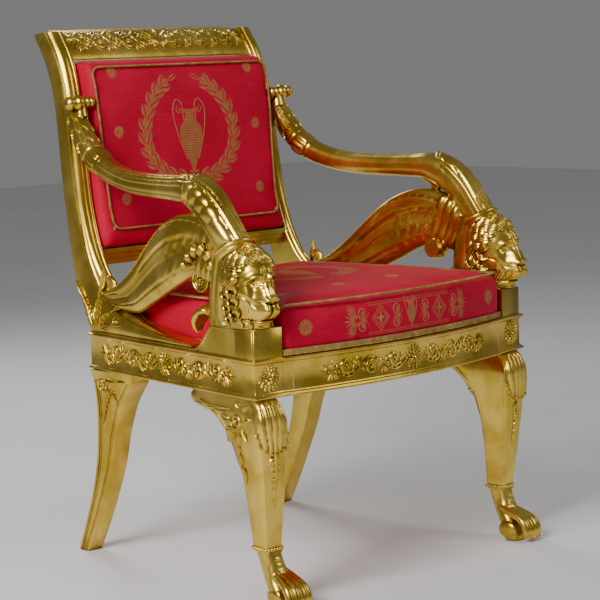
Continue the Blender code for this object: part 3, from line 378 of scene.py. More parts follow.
def rinceau(pile, place, centre, middle, start, reach, half_high, bays, high=RELIEF, end=0.9):
    """A scrolling stem to both sides of a centre, with a scroll and sprays of leaves in each bay."""
    for way in (-1, 1):
        s = np.linspace(0, 1, 14 * bays)
        run = reach - start
        wave = np.sin(math.pi * bays * s)
        u = centre + way * (start + run * s)
        v = middle - 0.55 * half_high * wave
        wide = 0.0019 * np.interp(s, (0, 1), (1.0, 0.7))
        stroke(pile, stacked(u, v), wide, np.full(len(s), 0.75 * high), place)
        facing = 0.0 if way > 0 else math.pi
        for k in range(bays):
            up = 1 if k % 2 == 0 else -1
            at = centre + way * (start + run * (k + 0.5) / bays)
            hub = middle + up * 0.20 * half_high
            turn = way * up
            size = 0.62 * half_high
            scroll(pile, at, hub, facing + way * up * 2.6, 1.35, size, place, turn, 0.22, high)
            for j in range(6):
                lean = facing + way * up * (-2.7 + 0.60 * j)
                root = 0.52 * half_high
                leaf(pile, at + root * math.cos(lean), hub + root * math.sin(lean) * 0.85,
                     lean - way * up * 0.5,
                     0.46 * half_high, 0.15 * half_high, place, -way * up * 0.9, high, 0.35, 7)
            knot = centre + way * (start + run * (k + 1) / bays)
            for j in (-2, -1, 0, 1, 2):
                leaf(pile, knot, middle + 0.10 * half_high * j, facing - way * up * (0.9 - 0.55 * j),
                     0.74 * half_high,
                     0.15 * half_high, place, -way * up * 0.8, high, 0.35, 7)
        palmette(pile, centre + way * reach, middle, facing, 1.15 * end * half_high, place, 7, 2.3, 0.8,
                 high)


# Seat frame

RAIL_MIDDLE = (RAIL_BOTTOM + RAIL_TOP) / 2


def moulded_edge(thick):
    """(outwards, up from the edge) points of half a rail: a rounded moulding, a hollow and the panel."""
    return [(-thick, 0.0), (MOULD_PROUD - 0.0015, 0.0), (MOULD_PROUD - 0.0004, 0.0005),
            (MOULD_PROUD, 0.0016),
            (MOULD_PROUD, 0.0030), (MOULD_PROUD - 0.0005, 0.0042), (MOULD_PROUD - 0.0018, 0.0052),
            (MOULD_PROUD - 0.0021, 0.0060), (0.0028, 0.0066), (0.0014, 0.0075), (0.0006, 0.0088),
            (0.0, 0.0102)]


def rail_outline(thick):
    low = [(out, RAIL_BOTTOM + up) for out, up in moulded_edge(thick)]
    high = [(out, RAIL_TOP - up) for out, up in reversed(moulded_edge(thick))]
    return np.array(low + high)


def front_rail():
    section = rail_outline(RAIL_THICK)
    pile, rings = Pile(), []
    for share in np.linspace(-1, 1, 91):
        y = front_face(share * block_inner(FRAME_FRONT)) - section[:, 0]
        rings.append(stacked(share * (block_inner(y) - 0.0003), y, section[:, 1]))
    pile.rings(rings)

    def place(u, v, out):
        return stacked(u, front_face(u) - out, v)

    rosette(pile, 0.0, RAIL_MIDDLE, 0.0235, place, 10, CARVED)
    rinceau(pile, place, 0.0, RAIL_MIDDLE, 0.022, 0.188, 0.0268, 3, CARVED)
    for x in (-0.268, 0.268):
        stroke(pile, [(x, RAIL_BOTTOM + 0.011), (x, RAIL_MIDDLE), (x, RAIL_TOP - 0.011)], [0.0012] * 3,
               [0.001] * 3, place)
    return gilded("front_rail_carved", pile, ["front_rail"])


def plinth_strip(pile, place, start, end, front_corner):
    """The raised strip that frames the plinth's side and follows the hollow curve behind it."""
    inset = 0.0050
    back = np.linspace(start, end, 40)
    top = side_rail_top(back)
    slope = np.gradient(top, back)
    length = np.hypot(1, slope)
    path = stacked(back + inset * slope / length, top - inset / length)
    if front_corner:
        path = np.vstack([[(inset, RAIL_TOP + 0.006), (inset, BLOCK_TOP - inset - 0.002)], path])
    stroke(pile, path, np.full(len(path), 0.0016), np.full(len(path), 0.0014), place, 0, 5)


def side_rail(side):
    hand = SIDES[side]
    pile, rings = Pile(), []
    flat_end = BLOCK_DEEP + PLINTH_REACH
    outline = rail_outline(RAIL_THICK)[:-1]
    for back in [BLOCK_DEEP + 0.0003, BLOCK_DEEP + 0.03, *np.linspace(flat_end, flat_end + CYMA_REACH, 44),
                 SIDE_LENGTH]:
        top = float(side_rail_top(back))
        upper = [(0.0, RAIL_TOP + 0.0012), (0.0, top - 0.0012), (-0.0012, top), (-STILE_WIDE, top),
                 (-STILE_WIDE, RAIL_TOP), (-RAIL_THICK, RAIL_TOP)]
        section = np.vstack([outline, upper])
        rings.append(frame_point(-section[:, 0], back, section[:, 1], hand))
    pile.rings(rings)

    def place(u, v, out):
        return frame_point(-out, u, v, hand)

    centre = (BLOCK_DEEP + SIDE_LENGTH) / 2 - 0.016
    rosette(pile, centre, RAIL_MIDDLE, 0.0225, place, 10, CARVED)
    rinceau(pile, place, centre, RAIL_MIDDLE, 0.020, 0.186, 0.0268, 3, CARVED)
    plinth_strip(pile, place, BLOCK_DEEP + 0.001, flat_end + CYMA_REACH, False)
    return gilded(f"{side}_side_rail_carved", pile, [f"{side}_side_rail"])


CREST_SECTION = (
    (0.318, CREST_LOW), (0.323, 0.937), (0.331, 0.950), (0.343, 0.963), (0.359, 0.974), (0.376, 0.981),
    (0.390, BACK_TOP),
    (0.401, 0.975), (0.386, 0.965), (0.369, 0.951), (0.356, 0.937), (0.349, CREST_LOW),
)


def stile_outer(y, z):
    """Half width over the stiles: the foot follows the side rail, the upright leans in to the back."""
    lean = (STILE_TOP_OUT - STILE_WAIST_OUT) * (z - STILE_WAIST_Z) / (BACK_TOP - STILE_WAIST_Z)
    waist = STILE_WAIST_OUT + lean
    return rail_outer(y) + (waist - rail_outer(y)) * smooth_step(RAIL_TOP, STILE_WAIST_Z, z)


def stile_inner(z):
    return stile_outer(FRAME_REAR, z) - STILE_WIDE


def crest_rail():
    face = smooth_path(CREST_SECTION[:7], 25)
    back = smooth_path(CREST_SECTION[7:], 12)
    section = np.vstack([face, back])
    pile = Pile()
    pile.rings([stacked(share * (stile_inner(section[:, 1]) - 0.0003), section[:, 0], section[:, 1])
                for share in np.linspace(-1, 1, 31)])
    normal = unit(stacked(-np.gradient(face[:, 1]), np.gradient(face[:, 0])))

    def place(u, v, out):
        """The height v runs up the hollow face, from 0 to 1."""
        row = np.clip(v, 0, 1) * (len(face) - 1)
        index = np.arange(len(face))
        y, z = np.interp(row, index, face[:, 0]), np.interp(row, index, face[:, 1])
        return stacked(u, y + out * np.interp(row, index, normal[:, 0]),
                       z + out * np.interp(row, index, normal[:, 1]))

    run = float(np.sum(np.linalg.norm(np.diff(face, axis=0), axis=1)))

    def panel(u, v, out):
        return place(u, 0.5 + v / run, out)

    half = 0.40 * run
    palmette(pile, 0.0, -0.35 * half, math.pi / 2, 1.3 * half, panel, 9, 2.6, 1.0, CARVED)
    rinceau(pile, panel, 0.0, 0.0, 0.022, 0.196, 0.92 * half, 5, CARVED, 0.8)
    for edge, wide in ((-0.465 * run, 0.0016), (0.445 * run, 0.0020)):
        reach = stile_inner(CREST_LOW) - 0.004
        path = [(x, edge) for x in np.linspace(-reach, reach, 24)]
        stroke(pile, path, [wide] * 24, [0.0016] * 24, panel, 0, 5)
    return gilded("crest_rail_carved", pile, ["crest_rail"])


# Stiles

STILE_FRONT = (
    (-0.093, 0.4340), (-0.006, 0.4415), (0.085, 0.456), (0.141, 0.475), (0.184, 0.497), (0.217, 0.532),
    (0.244, 0.583),
    (0.264, 0.651), (0.275, 0.721), (0.287, 0.817), (0.298, 0.882), (0.316, 0.934), (0.346, 0.981),
)
STILE_REAR = (
    (-0.093, 0.4283), (0.010, 0.4283), (0.110, 0.4283), (0.195, 0.4283), (0.236, 0.4283), (0.262, 0.474),
    (0.287, 0.533),
    (0.308, 0.649), (0.318, 0.720), (0.328, 0.810), (0.338, 0.865), (0.358, 0.922), (0.391, 0.976),
)
# (share from the rear edge to the front edge, share of the width inwards from the outer face)
STILE_SECTION = (
    (0.0, 0.92), (0.0, 0.10), (0.03, 0.03), (0.10, 0.0), (0.30, -0.035), (0.50, -0.05), (0.68, -0.035),
    (0.79, -0.005),
    (0.83, 0.02), (0.845, 0.075), (0.835, 0.12), (0.86, 0.165), (0.91, 0.195), (0.96, 0.24), (1.0, 0.31),
    (1.03, 0.40),
    (1.04, 0.49), (1.03, 0.58), (1.0, 0.655), (0.955, 0.70), (0.925, 0.725), (0.935, 0.755), (0.97, 0.775),
    (1.0, 0.82),
    (1.01, 0.875), (1.0, 0.93), (0.965, 0.985), (0.92, 1.0), (0.08, 1.0), (0.02, 0.98),
)


def stile(side):
    hand = SIDES[side]
    front, rear = smooth_path(STILE_FRONT, 130), smooth_path(STILE_REAR, 130)
    floor = RAIL_TOP + SWEEP_BASE + 0.0003
    pile, rings = Pile(), []
    section = np.array(STILE_SECTION)
    for (fy, fz), (ry, rz) in zip(front, rear):
        y = ry + (fy - ry) * section[:, 0]
        z = np.maximum(rz + (fz - rz) * section[:, 0], floor)
        rings.append(stacked(hand * (stile_outer(y, z) - STILE_WIDE * section[:, 1]), y, z))
    pile.rings(rings)

    def place(u, v, out):
        return stacked(hand * (stile_outer(u, v) + 0.0012 + out), u, v)

    for root, facing, length, wide, bend in (
        ((0.214, 0.438), 1.62, 0.098, 0.021, 0.25), ((0.222, 0.438), 1.10, 0.086, 0.017, -0.30),
        ((0.206, 0.437), 2.30, 0.080, 0.017, 0.55), ((0.198, 0.436), 2.85, 0.062, 0.012, 0.25),
    ):
        acanthus(pile, *root, facing, length, wide, place, bend, 0.0042, 5)
    scroll(pile, 0.150, 0.452, 2.6, 1.2, 0.010, place, -1, 0.24, 0.0030)
    return gilded(f"{side}_stile_carved", pile, [f"{side}_stile"], 35)


# Front legs

LEG_X = FRONT_HALF - BLOCK_WIDE / 2
FRONT_LEG = (
    # height, rear edge, front edge, half width, middle inwards from the block's middle
    (RAIL_BOTTOM - 0.0003, -0.083, -0.279, 0.0270, -0.0010),
    (0.345, -0.083, -0.284, 0.0285, -0.0005),
    (0.334, -0.090, -0.289, 0.0300, 0.0000),
    (0.329, -0.125, -0.291, 0.0305, 0.0000),
    (0.320, -0.160, -0.292, 0.0310, 0.0005),
    (0.300, -0.186, -0.292, 0.0315, 0.0005),
    (0.270, -0.205, -0.290, 0.0305, 0.0015),
    (0.228, -0.220, -0.285, 0.0280, 0.0040),
    (0.180, -0.226, -0.280, 0.0245, 0.0060),
    (0.128, -0.228, -0.274, 0.0200, 0.0075),
    (ANKLE_Z + 0.006, -0.229, -0.271, 0.0185, 0.0085),
    (ANKLE_Z, -0.229, -0.271, 0.0180, 0.0090),
    (ANKLE_Z - 0.006, -0.232, -0.273, 0.0180, 0.0095),
    (0.072, -0.240, -0.279, 0.0185, 0.0110),
    (0.050, -0.252, -0.290, 0.0220, 0.0130),
    (0.028, -0.264, -0.314, 0.0245, 0.0150),
    (0.000, -0.274, -0.318, 0.0245, 0.0160),
)
FOOT_X = LEG_X - 0.016
TOE_FRONT, TOE_FAN = -0.334, 0.0125
# The leg's section is a box with rounded corners: powers of the sines across its face and along its side
FACE_ROUND, SIDE_ROUND = 0.45, 0.35
# The shell's lower edge, ribs to each side and reach round the side; the flat share of the leg's face
SHELL_FOOT, SHELL_RIBS, SHELL_WRAP, FLAT_SHARE = 0.266, 4.5, 0.017, 0.92


def leg_rows(heights):
    """The leg's table read at the given heights, eased so that no station shows."""
    table = np.array(FRONT_LEG)[::-1]
    fine = np.linspace(0, RAIL_BOTTOM, 721)
    rows = np.stack([np.interp(fine, table[:, 0], table[:, k]) for k in range(1, 5)], 1)
    for _ in range(90):
        rows[1:-1] = 0.25 * rows[:-2] + 0.5 * rows[1:-1] + 0.25 * rows[2:]
    return np.stack([np.interp(heights, fine, rows[:, k]) for k in range(4)], -1)


def leg_side(hand, way=1):
    """Maps (depth, height, out) to the leg's outer side, or to its inner side with way -1."""
    def place(u, v, out):
        rear, front, half, inside = np.moveaxis(leg_rows(v), -1, 0)
        s = np.clip(np.abs(u - (rear + front) / 2) / ((rear - front) / 2), 0, 0.999) ** (1 / SIDE_ROUND)
        x = LEG_X - inside + way * (half * np.sqrt(1 - s**2) ** FACE_ROUND + out)
        return turned_with_side(stacked(hand * x, u, v), hand)
    return place


def leg_front(hand):
    """Maps (share of the half width, height, out) to the leg's front face."""
    def place(u, v, out):
        rear, front, half, inside = np.moveaxis(leg_rows(v), -1, 0)
        c = np.clip(np.abs(u), 0, 0.999) ** (1 / FACE_ROUND)
        y = (rear + front) / 2 - (rear - front) / 2 * np.sqrt(1 - c**2) ** SIDE_ROUND - out
        return turned_with_side(stacked(hand * (LEG_X - inside + u * half), y, v), hand)
    return place


def leg_turns():
    """Angles round the leg from the middle of its front, close together on the flat faces."""
    front = np.arcsin(np.linspace(0.012, FLAT_SHARE, 22) ** (1 / FACE_ROUND))
    corner = math.cos(front[-1]) ** SIDE_ROUND
    side = np.arccos(np.linspace(corner, 0.02, 24)[1:] ** (1 / SIDE_ROUND))
    quarter = np.concatenate([front, side])
    half = np.concatenate([quarter, math.pi - quarter[::-2]])
    return np.concatenate([half, -half[::-1]])


def shell_swell(across, z):
    """How far the ribbed shell stands out of the leg; across runs from -1 to 1 over the shell."""
    rib = np.abs(np.cos(math.pi * SHELL_RIBS * across)) ** 0.7
    foot = SHELL_FOOT + 0.042 * np.abs(across) ** 2.2 - 0.0060 * rib
    inside = smooth_step(0.0, 0.0035, z - foot) * smooth_step(1.0, 0.94, np.abs(across))
    inside = inside * smooth_step(0.357, 0.351, z)
    lip = np.exp(-(((z - foot - 0.004) / 0.003) ** 2))
    return inside * (0.0014 + 0.0046 * rib * smooth_step(0.357, 0.344, z) + 0.0016 * lip)


def corner_block(pile, hand):
    edge = moulded_edge(0.0)[1:]
    rows = [(RAIL_BOTTOM + up, out) for out, up in edge] + [(RAIL_TOP - up, out)
                                                            for out, up in reversed(edge)]
    rows += [(RAIL_TOP + 0.0012, 0.0), (BLOCK_TOP - 0.0012, 0.0), (BLOCK_TOP, -0.0012)]
    rings = []
    for z, out in rows:
        corners = np.array(((BLOCK_WIDE, -out), (-out + 0.0006, -out), (-out, -out + 0.0006),
                            (-out, BLOCK_DEEP),
                            (BLOCK_WIDE, BLOCK_DEEP)))
        rings.append(frame_point(corners[:, 0], corners[:, 1], z, hand))
    pile.rings(rings)
    rosette(pile, BLOCK_WIDE / 2 + 0.001, RAIL_MIDDLE, 0.0236,
            lambda u, v, out: frame_point(u, -out, v, hand), 11, CARVED)
    plinth_strip(pile, lambda u, v, out: frame_point(-out, u, v, hand), 0.010, BLOCK_DEEP - 0.001, True)


def paw():
    """The right-hand paw: four knuckled toes with claws in front of a flattened foot."""
    clay_pile = Pile()
    heights = np.linspace(ANKLE_Z - 0.004, 0.0, 40)
    a = around(40)
    c, s = np.cos(a), np.sin(a)
    rings = []
    for z, (rear, front, half, inside) in zip(heights, leg_rows(heights)):
        front += 0.010 * smooth_step(0.07, 0.02, z)
        x = LEG_X - inside + squared(c, 0.75) * half
        y = (rear + front) / 2 + squared(s, 0.75) * (rear - front) / 2
        rings.append(stacked(x, y, z))
    clay_pile.rings(rings)
    for k in range(4):
        spread = (k - 1.5) * TOE_FAN
        reach = TOE_FRONT + 0.0035 * abs(k - 1.5)
        path = smooth_path([(FOOT_X + 0.7 * spread, -0.268, 0.060),
                            (FOOT_X + 0.85 * spread, reach + 0.030, 0.047),
                            (FOOT_X + 0.95 * spread, reach + 0.012, 0.036),
                            (FOOT_X + spread, reach + 0.004, 0.021),
                            (FOOT_X + spread, reach + 0.004, 0.008)], 24)
        share = np.linspace(0, 1, 24)
        clay_pile.tube(path, np.interp(share, (0, 0.35, 0.5, 0.75, 1),
                                       (0.005, 0.0072, 0.0078, 0.0080, 0.0062)), 16)
        clay_pile.ball((FOOT_X + 0.9 * spread, reach + 0.016, 0.040), (0.0070, 0.0090, 0.0062))
        claw = smooth_path([(FOOT_X + spread, reach + 0.006, 0.014),
                            (FOOT_X + spread, reach - 0.0005, 0.010),
                            (FOOT_X + 1.02 * spread, reach - 0.0010, 0.0025)], 10)
        clay_pile.tube(claw, np.linspace(0.0042, 0.0016, 10), 10)
    for x in (-0.021, 0.021):
        clay_pile.ball((FOOT_X + x, -0.284, 0.020), (0.0065, 0.020, 0.016))
    for k in range(3):
        z = 0.082 - 0.010 * k
        row = leg_rows(z)
        clay_pile.tube([(LEG_X - row[3] + 0.013 * w, row[1] - 0.0005 + 0.006 * abs(w) ** 2,
                         z - 0.004 * abs(w))
                        for w in np.linspace(-1, 1, 12)], np.full(12, 0.0013), 8)
    return clay(clay_pile, 0.0016, 2)


def front_leg(side, foot):
    hand = SIDES[side]
    pile = Pile()
    heights = np.concatenate([np.linspace(RAIL_BOTTOM - 0.0003, 0.250, 84),
                              np.linspace(0.249, ANKLE_Z - 0.006, 40)])
    turn = leg_turns()
    c, s = np.sin(turn), -np.cos(turn)
    wide, deep = squared(c, FACE_ROUND), squared(s, SIDE_ROUND)
    rings = []
    for z, (rear, front, half, inside) in zip(heights, leg_rows(heights)):
        x, y = wide * half, deep * (rear - front) / 2
        run = np.where(np.abs(wide) < FLAT_SHARE, np.abs(wide) * half,
                       half + (rear - front) / 2 * (1 + deep))
        across = np.sign(c) * run / (half + SHELL_WRAP * smooth_step(0.25, 0.33, z) + 0.006)
        away = 1 + shell_swell(across, z) / np.hypot(x, y)
        edge = np.exp(-(((np.abs(wide) - 0.80) / 0.05) ** 2)) * smooth_step(0.262, 0.245, z) * (s < 0)
        rings.append(turned_with_side(stacked(hand * (LEG_X - inside + x * away),
                                              (rear + front) / 2 + y * away - 0.0015 * edge, z), hand))
    pile.rings(rings)
    corner_block(pile, hand)
    face = leg_front(hand)
    half = float(leg_rows(0.23)[2])

    def drop(u, v, out):
        return face(u / half, v, out)

    acanthus(pile, 0.0, 0.270, -math.pi / 2, 0.084, 0.021, drop, 0, 0.0044, 5)
    outer, inner = leg_side(hand, 1), leg_side(hand, -1)
    for place, fine in ((outer, True), (inner, False)):
        bracket = smooth_path([(-0.100, 0.338), (-0.140, 0.334), (-0.172, 0.318), (-0.196, 0.290),
                               (-0.212, 0.250),
                               (-0.220, 0.205), (-0.223, 0.160)], 50)
        stroke(pile, bracket + (-0.004, -0.001), np.full(50, 0.0018), np.full(50, 0.0018), place, 0, 5)
        if not fine:
            continue
        scroll(pile, -0.228, 0.318, 0.4, 1.4, 0.0165, place, -1, 0.24, CARVED)
        for at, facing, length, wide, bend in (
            ((-0.206, 0.334), 0.06, 0.034, 0.0075, -0.30), ((-0.190, 0.332), 0.05, 0.034, 0.0070, 0.20),
            ((-0.172, 0.335), 0.04, 0.034, 0.0060, -0.20), ((-0.152, 0.338), 0.04, 0.034, 0.0048, 0.20),
            ((-0.208, 0.318), -0.05, 0.026, 0.0075, 0.50), ((-0.214, 0.304), -0.45, 0.022, 0.0065, 0.60),
            ((-0.224, 0.298), -1.05, 0.024, 0.0065, 0.30), ((-0.236, 0.300), -1.50, 0.030, 0.0070, 0.20),
            ((-0.232, 0.280), -1.35, 0.026, 0.0060, -0.20), ((-0.236, 0.262), -1.45, 0.030, 0.0055, 0.20),
            ((-0.240, 0.240), -1.52, 0.030, 0.0045, -0.20), ((-0.246, 0.306), -1.80, 0.024, 0.0060, -0.50),
            ((-0.250, 0.322), 2.90, 0.018, 0.0060, 0.40), ((-0.246, 0.336), 2.30, 0.018, 0.0055, 0.40),
            ((-0.234, 0.340), 1.10, 0.014, 0.0050, -0.40),
        ):
            leaf(pile, *at, facing, length, wide, place, bend, 0.0042, 0.5)
    pile.add(turned_with_side(np.vstack(foot.points) * (hand, 1, 1), hand), foot.faces)
    return gilded(f"{side}_front_leg_carved", pile, [f"{side}_front_leg"], 50)


# Rear legs

REAR_LEG = (
    # height, rear edge, front edge
    (0.3577, 0.224, 0.107), (0.339, 0.221, 0.111), (0.320, 0.222, 0.129), (0.288, 0.225, 0.155),
    (0.233, 0.233, 0.181),
    (0.175, 0.244, 0.199), (0.105, 0.267, 0.229), (0.055, 0.288, 0.253), (0.000, 0.311, 0.282),
)


def rear_outer(y, z):
    share = z / RAIL_BOTTOM
    return REAR_LEG_FOOT_OUT + (rail_outer(y) - 0.002 - REAR_LEG_FOOT_OUT) * share**2


def rear_leg(side):
    hand = SIDES[side]
    pile, rings = Pile(), []
    for z, rear, front in smooth_path(REAR_LEG, 90):
        outer = float(rear_outer(front, z))
        inner = outer - (0.034 + 0.010 * z / RAIL_BOTTOM)
        e = 0.0026
        corners = np.array([(inner, front + e), (inner + 0.3 * e, front + 0.3 * e), (inner + e, front),
                            (outer - e, front),
                            (outer - 0.3 * e, front + 0.3 * e), (outer, front + e), (outer, rear - e),
                            (outer - 0.3 * e, rear - 0.3 * e), (outer - e, rear), (inner + e, rear),
                            (inner + 0.3 * e, rear - 0.3 * e), (inner, rear - e)])
        rings.append(stacked(hand * corners[:, 0], corners[:, 1], z))
    pile.rings(rings)
    table = np.array(REAR_LEG)[::-1]

    def place(u, v, out):
        return stacked(hand * (rear_outer(np.interp(v, table[:, 0], table[:, 2]), v) + out), u, v)

    edges = smooth_path(REAR_LEG[1:], 60)
    for inset in (0.007, 0.012):
        for column, way in ((2, 1), (1, -1)):
            path = stacked(edges[:, column] + way * inset, edges[:, 0])
            stroke(pile, path, np.full(60, 0.0013), np.full(60, 0.0016), place, 0, 5)
    scroll(pile, 0.196, 0.332, math.pi, 1.3, 0.0150, place, 1, 0.24, CARVED)
    for at, facing, length, wide, bend in (
        ((0.178, 0.326), -1.15, 0.074, 0.0125, 0.10), ((0.186, 0.340), 3.08, 0.052, 0.0090, 0.05),
        ((0.170, 0.322), -1.95, 0.026, 0.0060, 0.20),
    ):
        acanthus(pile, *at, facing, length, wide, place, bend, 0.0040, 5)
    return gilded(f"{side}_rear_leg_carved", pile, [f"{side}_rear_leg"], 35)


# Arms

ARM_PATH = (
    # distance inside the side rail's outer face, y, z, half height
    (0.0159, 0.284, 0.836, 0.0140), (0.0163, 0.265, 0.803, 0.0180), (0.0164, 0.241, 0.771, 0.0195),
    (0.0184, 0.209, 0.744, 0.0200), (0.0185, 0.161, 0.722, 0.0190), (0.0171, 0.094, 0.708, 0.0190),
    (0.0150, 0.024, 0.704, 0.0195), (0.0134, -0.050, 0.703, 0.0210), (0.0132, -0.096, 0.702, 0.0245),
    (0.0141, -0.134, 0.688, 0.0265), (0.0139, -0.164, 0.662, 0.0265), (0.0142, -0.190, 0.632, 0.0250),
)
ARM_BREADTH = 1.02
COLLAR_CENTRE = np.array((LION_X, -0.208, 0.606))
COLLAR_AXIS = unit(np.array((0.04, -0.50, -0.86)))
COLLAR_HALF = 0.005
KNOT_SHARE, LEAF_SHARE = 0.273, 0.728
REED_GROOVES = (-1.05, -0.50, 0.10, 0.62, 1.10, 2.0)
KNOB_CENTRE = (REAR_HALF - 0.030, 0.266, 0.848)


class ArmShape:
    """The arm's middle line, its cross sections and its carved surface."""

    def __init__(self, stations=340):
        table = [(float(rail_outer(y)) - inside, y, z, half) for inside, y, z, half in ARM_PATH]
        rows = smooth_path(table, stations)
        self.share = np.linspace(0, 1, stations)
        self.centre, self.half = rows[:, :3].copy(), rows[:, 3]
        end = COLLAR_CENTRE - COLLAR_AXIS * (COLLAR_HALF + 0.0003)
        blend = smooth_step(0.93, 1.0, self.share)[:, None]
        self.centre += blend * (end - self.centre[-1])
        ahead = unit(np.gradient(self.centre, axis=0))
        ahead = unit(ahead * (1 - blend) + COLLAR_AXIS * blend)
        side = np.array([1.0, 0.0, 0.0]) - ahead * ahead[:, :1]
        self.side = unit(side)
        self.lift = np.cross(ahead, self.side)

    def surface(self, share, angle, out=0.0):
        """Angle 0 is the outer side and a quarter turn is the top."""
        def read(values):
            return np.stack([np.interp(share, self.share, values[:, k]) for k in range(3)], -1)
        half = np.interp(share, self.share, self.half)
        c, s = np.cos(angle), np.sin(angle)
        wide = squared(c, 0.8) * half * ARM_BREADTH + c * out
        tall = squared(s, 0.8) * half + s * out
        return read(self.centre) + wide[..., None] * read(self.side) + tall[..., None] * read(self.lift)


def wrapped(angle):
    return (angle + math.pi) % (2 * math.pi) - math.pi


def arm_swell(share, angle):
    """Carving of the arm: overlapping leaf scales, a bound knot, reeds, then a leaf with puffed lobes."""
    share, angle = np.broadcast_arrays(share, angle)
    lap = wrapped(angle)
    column = 6 * angle / (2 * math.pi)
    row = share / KNOT_SHARE * 4.0
    tip = 0.42 * np.abs(np.cos(math.pi * column))
    step = (row + tip) % 1.0
    scale = 0.0036 * step**0.7 * (0.72 + 0.28 * np.abs(np.cos(math.pi * column * 3))) - 0.0010
    reed = 0.0011 - 0.0020 * sum(np.exp(-((wrapped(lap - at) / 0.085) ** 2)) for at in REED_GROOVES)
    knot = np.abs(share - KNOT_SHARE)
    rope = 0.0034 * np.sqrt(np.clip(1 - (knot / 0.030) ** 2, 0, 1)) * (0.75 + 0.25 * np.cos(14 * angle))
    rope = rope + 0.0018 * np.exp(-(((knot - 0.042) / 0.006) ** 2))
    near = np.exp(-((knot / 0.055) ** 6))
    body = np.where(share < KNOT_SHARE, scale, reed)
    along = (share - LEAF_SHARE) / (1 - LEAF_SHARE)
    edge = along - 0.16 * (wrapped(lap - 0.85) / 1.35) ** 2
    middle = np.interp(along, (0, 0.6, 1), (0.14, 0.34, 0.44))
    lobes = np.zeros_like(along)
    for k in range(5):
        at, size = 0.15 + 0.185 * k, 0.132 - 0.002 * k
        away = ((along - at - 0.05 * (lap - middle)) / size) ** 2
        away = away + (wrapped(lap - middle) / (0.64 - 0.03 * k)) ** 2
        lobes = np.maximum(lobes, (0.0078 - 0.0006 * k) * np.sqrt(np.clip(1 - away, 0, 1)))
    ribs = 0.0034 * (0.5 + 0.5 * np.cos(2 * math.pi * (2.6 * lap - 1.5 * along))) ** 0.7
    over = smooth_step(middle + 0.34, middle + 0.60, lap) * smooth_step(2.20, 2.05, lap)
    rim = sum(np.exp(-((wrapped(lap - at) / 0.07) ** 2)) for at in (-0.42, -0.70, 2.32, 2.60))
    hems = sum(np.exp(-(((edge - at) / 0.018) ** 2)) for at in (0.015, 0.070))
    rim = rim + hems * (np.abs(wrapped(lap - 0.85)) < 1.5)
    leafy = np.maximum(lobes, ribs * over) + 0.0022 * np.clip(rim, 0, 1) + 0.0008
    start = smooth_step(-0.014, 0.014, edge)
    return (body * (1 - near) + rope * near) * (1 - start) + leafy * start


def arm(side):
    hand = SIDES[side]
    shape, pile = ArmShape(296), Pile()
    share = shape.share[:, None]
    angle = around(106)[None]
    points = shape.surface(share + 0 * angle, angle + 0 * share, arm_swell(share, angle))
    pile.rings(points * (hand, 1, 1))
    knob = smooth_path([(-0.0225, 0.003), (-0.0222, 0.0075), (-0.019, 0.0112), (-0.015, 0.0100),
                        (-0.0115, 0.0060),
                        (-0.0095, 0.0100), (-0.0070, 0.0112), (-0.0045, 0.0100), (-0.0020, 0.0065),
                        (0.0005, 0.0068),
                        (0.0020, 0.0100), (0.0060, 0.0138), (0.0115, 0.0150), (0.0170, 0.0128),
                        (0.0215, 0.0062),
                        (0.0230, 0.0060), (0.0250, 0.0092), (0.0300, 0.0128), (0.0350, 0.0110),
                        (0.0392, 0.0055),
                        (0.0400, 0.0010)], 110)
    x, y, z = KNOB_CENTRE
    pile.turned((hand * x, y, z), (hand, 0, 0), knob)
    pile.tube([(hand * (x + 0.003), y + 0.004, z - 0.003), (hand * (x + 0.004), y + 0.001, z - 0.026)],
              (0.010, 0.014), 20)
    spiral = smooth_path([(0.014, -0.085, 0.684), (0.014, -0.098, 0.676), (0.014, -0.112, 0.668),
                          (0.014, -0.110, 0.661),
                          (0.014, -0.100, 0.664)], 26)
    middle = np.array([float(rail_outer(v[1])) - v[0] for v in spiral])
    path = stacked(hand * middle, spiral[:, 1], spiral[:, 2])
    pile.tube(path, np.interp(np.linspace(0, 1, 26), (0, 0.4, 1), (0.010, 0.0095, 0.006)), 24, 1.5,
              (1, 0, 0))
    return gilded(f"{side}_arm_carved", pile, [f"{side}_arm"], 50)


# Winged lions

WING_TOP = (
    (0.204, 0.502), (0.172, 0.512), (0.136, 0.530), (0.096, 0.560), (0.052, 0.599), (0.012, 0.630),
    (-0.036, 0.652),
    (-0.084, 0.659), (-0.128, 0.654), (-0.163, 0.636), (-0.186, 0.608),
)
WING_LOW = (
    (0.200, 0.488), (0.174, 0.476), (0.134, 0.470), (0.090, 0.472), (0.048, 0.489), (0.010, 0.506),
    (-0.030, 0.525),
    (-0.066, 0.542), (-0.096, 0.550), (-0.126, 0.545), (-0.152, 0.540),
)
WING_INSIDE = (0.0181, 0.0201, 0.0207, 0.0188, 0.0174, 0.0165, 0.0166, 0.0207, 0.0233, 0.0238, 0.0227)


def head_point(x, y, z):
    """A place on the right-hand lion's head, from shares of its height: x outwards, y backwards, z up."""
    points = stacked(LION_X + np.asarray(x) * HEAD_HIGH, LION_Y + np.asarray(y) * HEAD_HIGH,
                     BLOCK_TOP + np.asarray(z) * HEAD_HIGH)
    return turned_with_side(points, 1)


def strand(pile, points, radii, sides=8, count=14):
    path = smooth_path(points, count)
    share = np.linspace(0, 1, count)
    swell = np.interp(share, np.linspace(0, 1, len(radii)), radii) * HEAD_HIGH
    pile.tube(head_point(path[:, 0], path[:, 1], path[:, 2]), swell, sides)


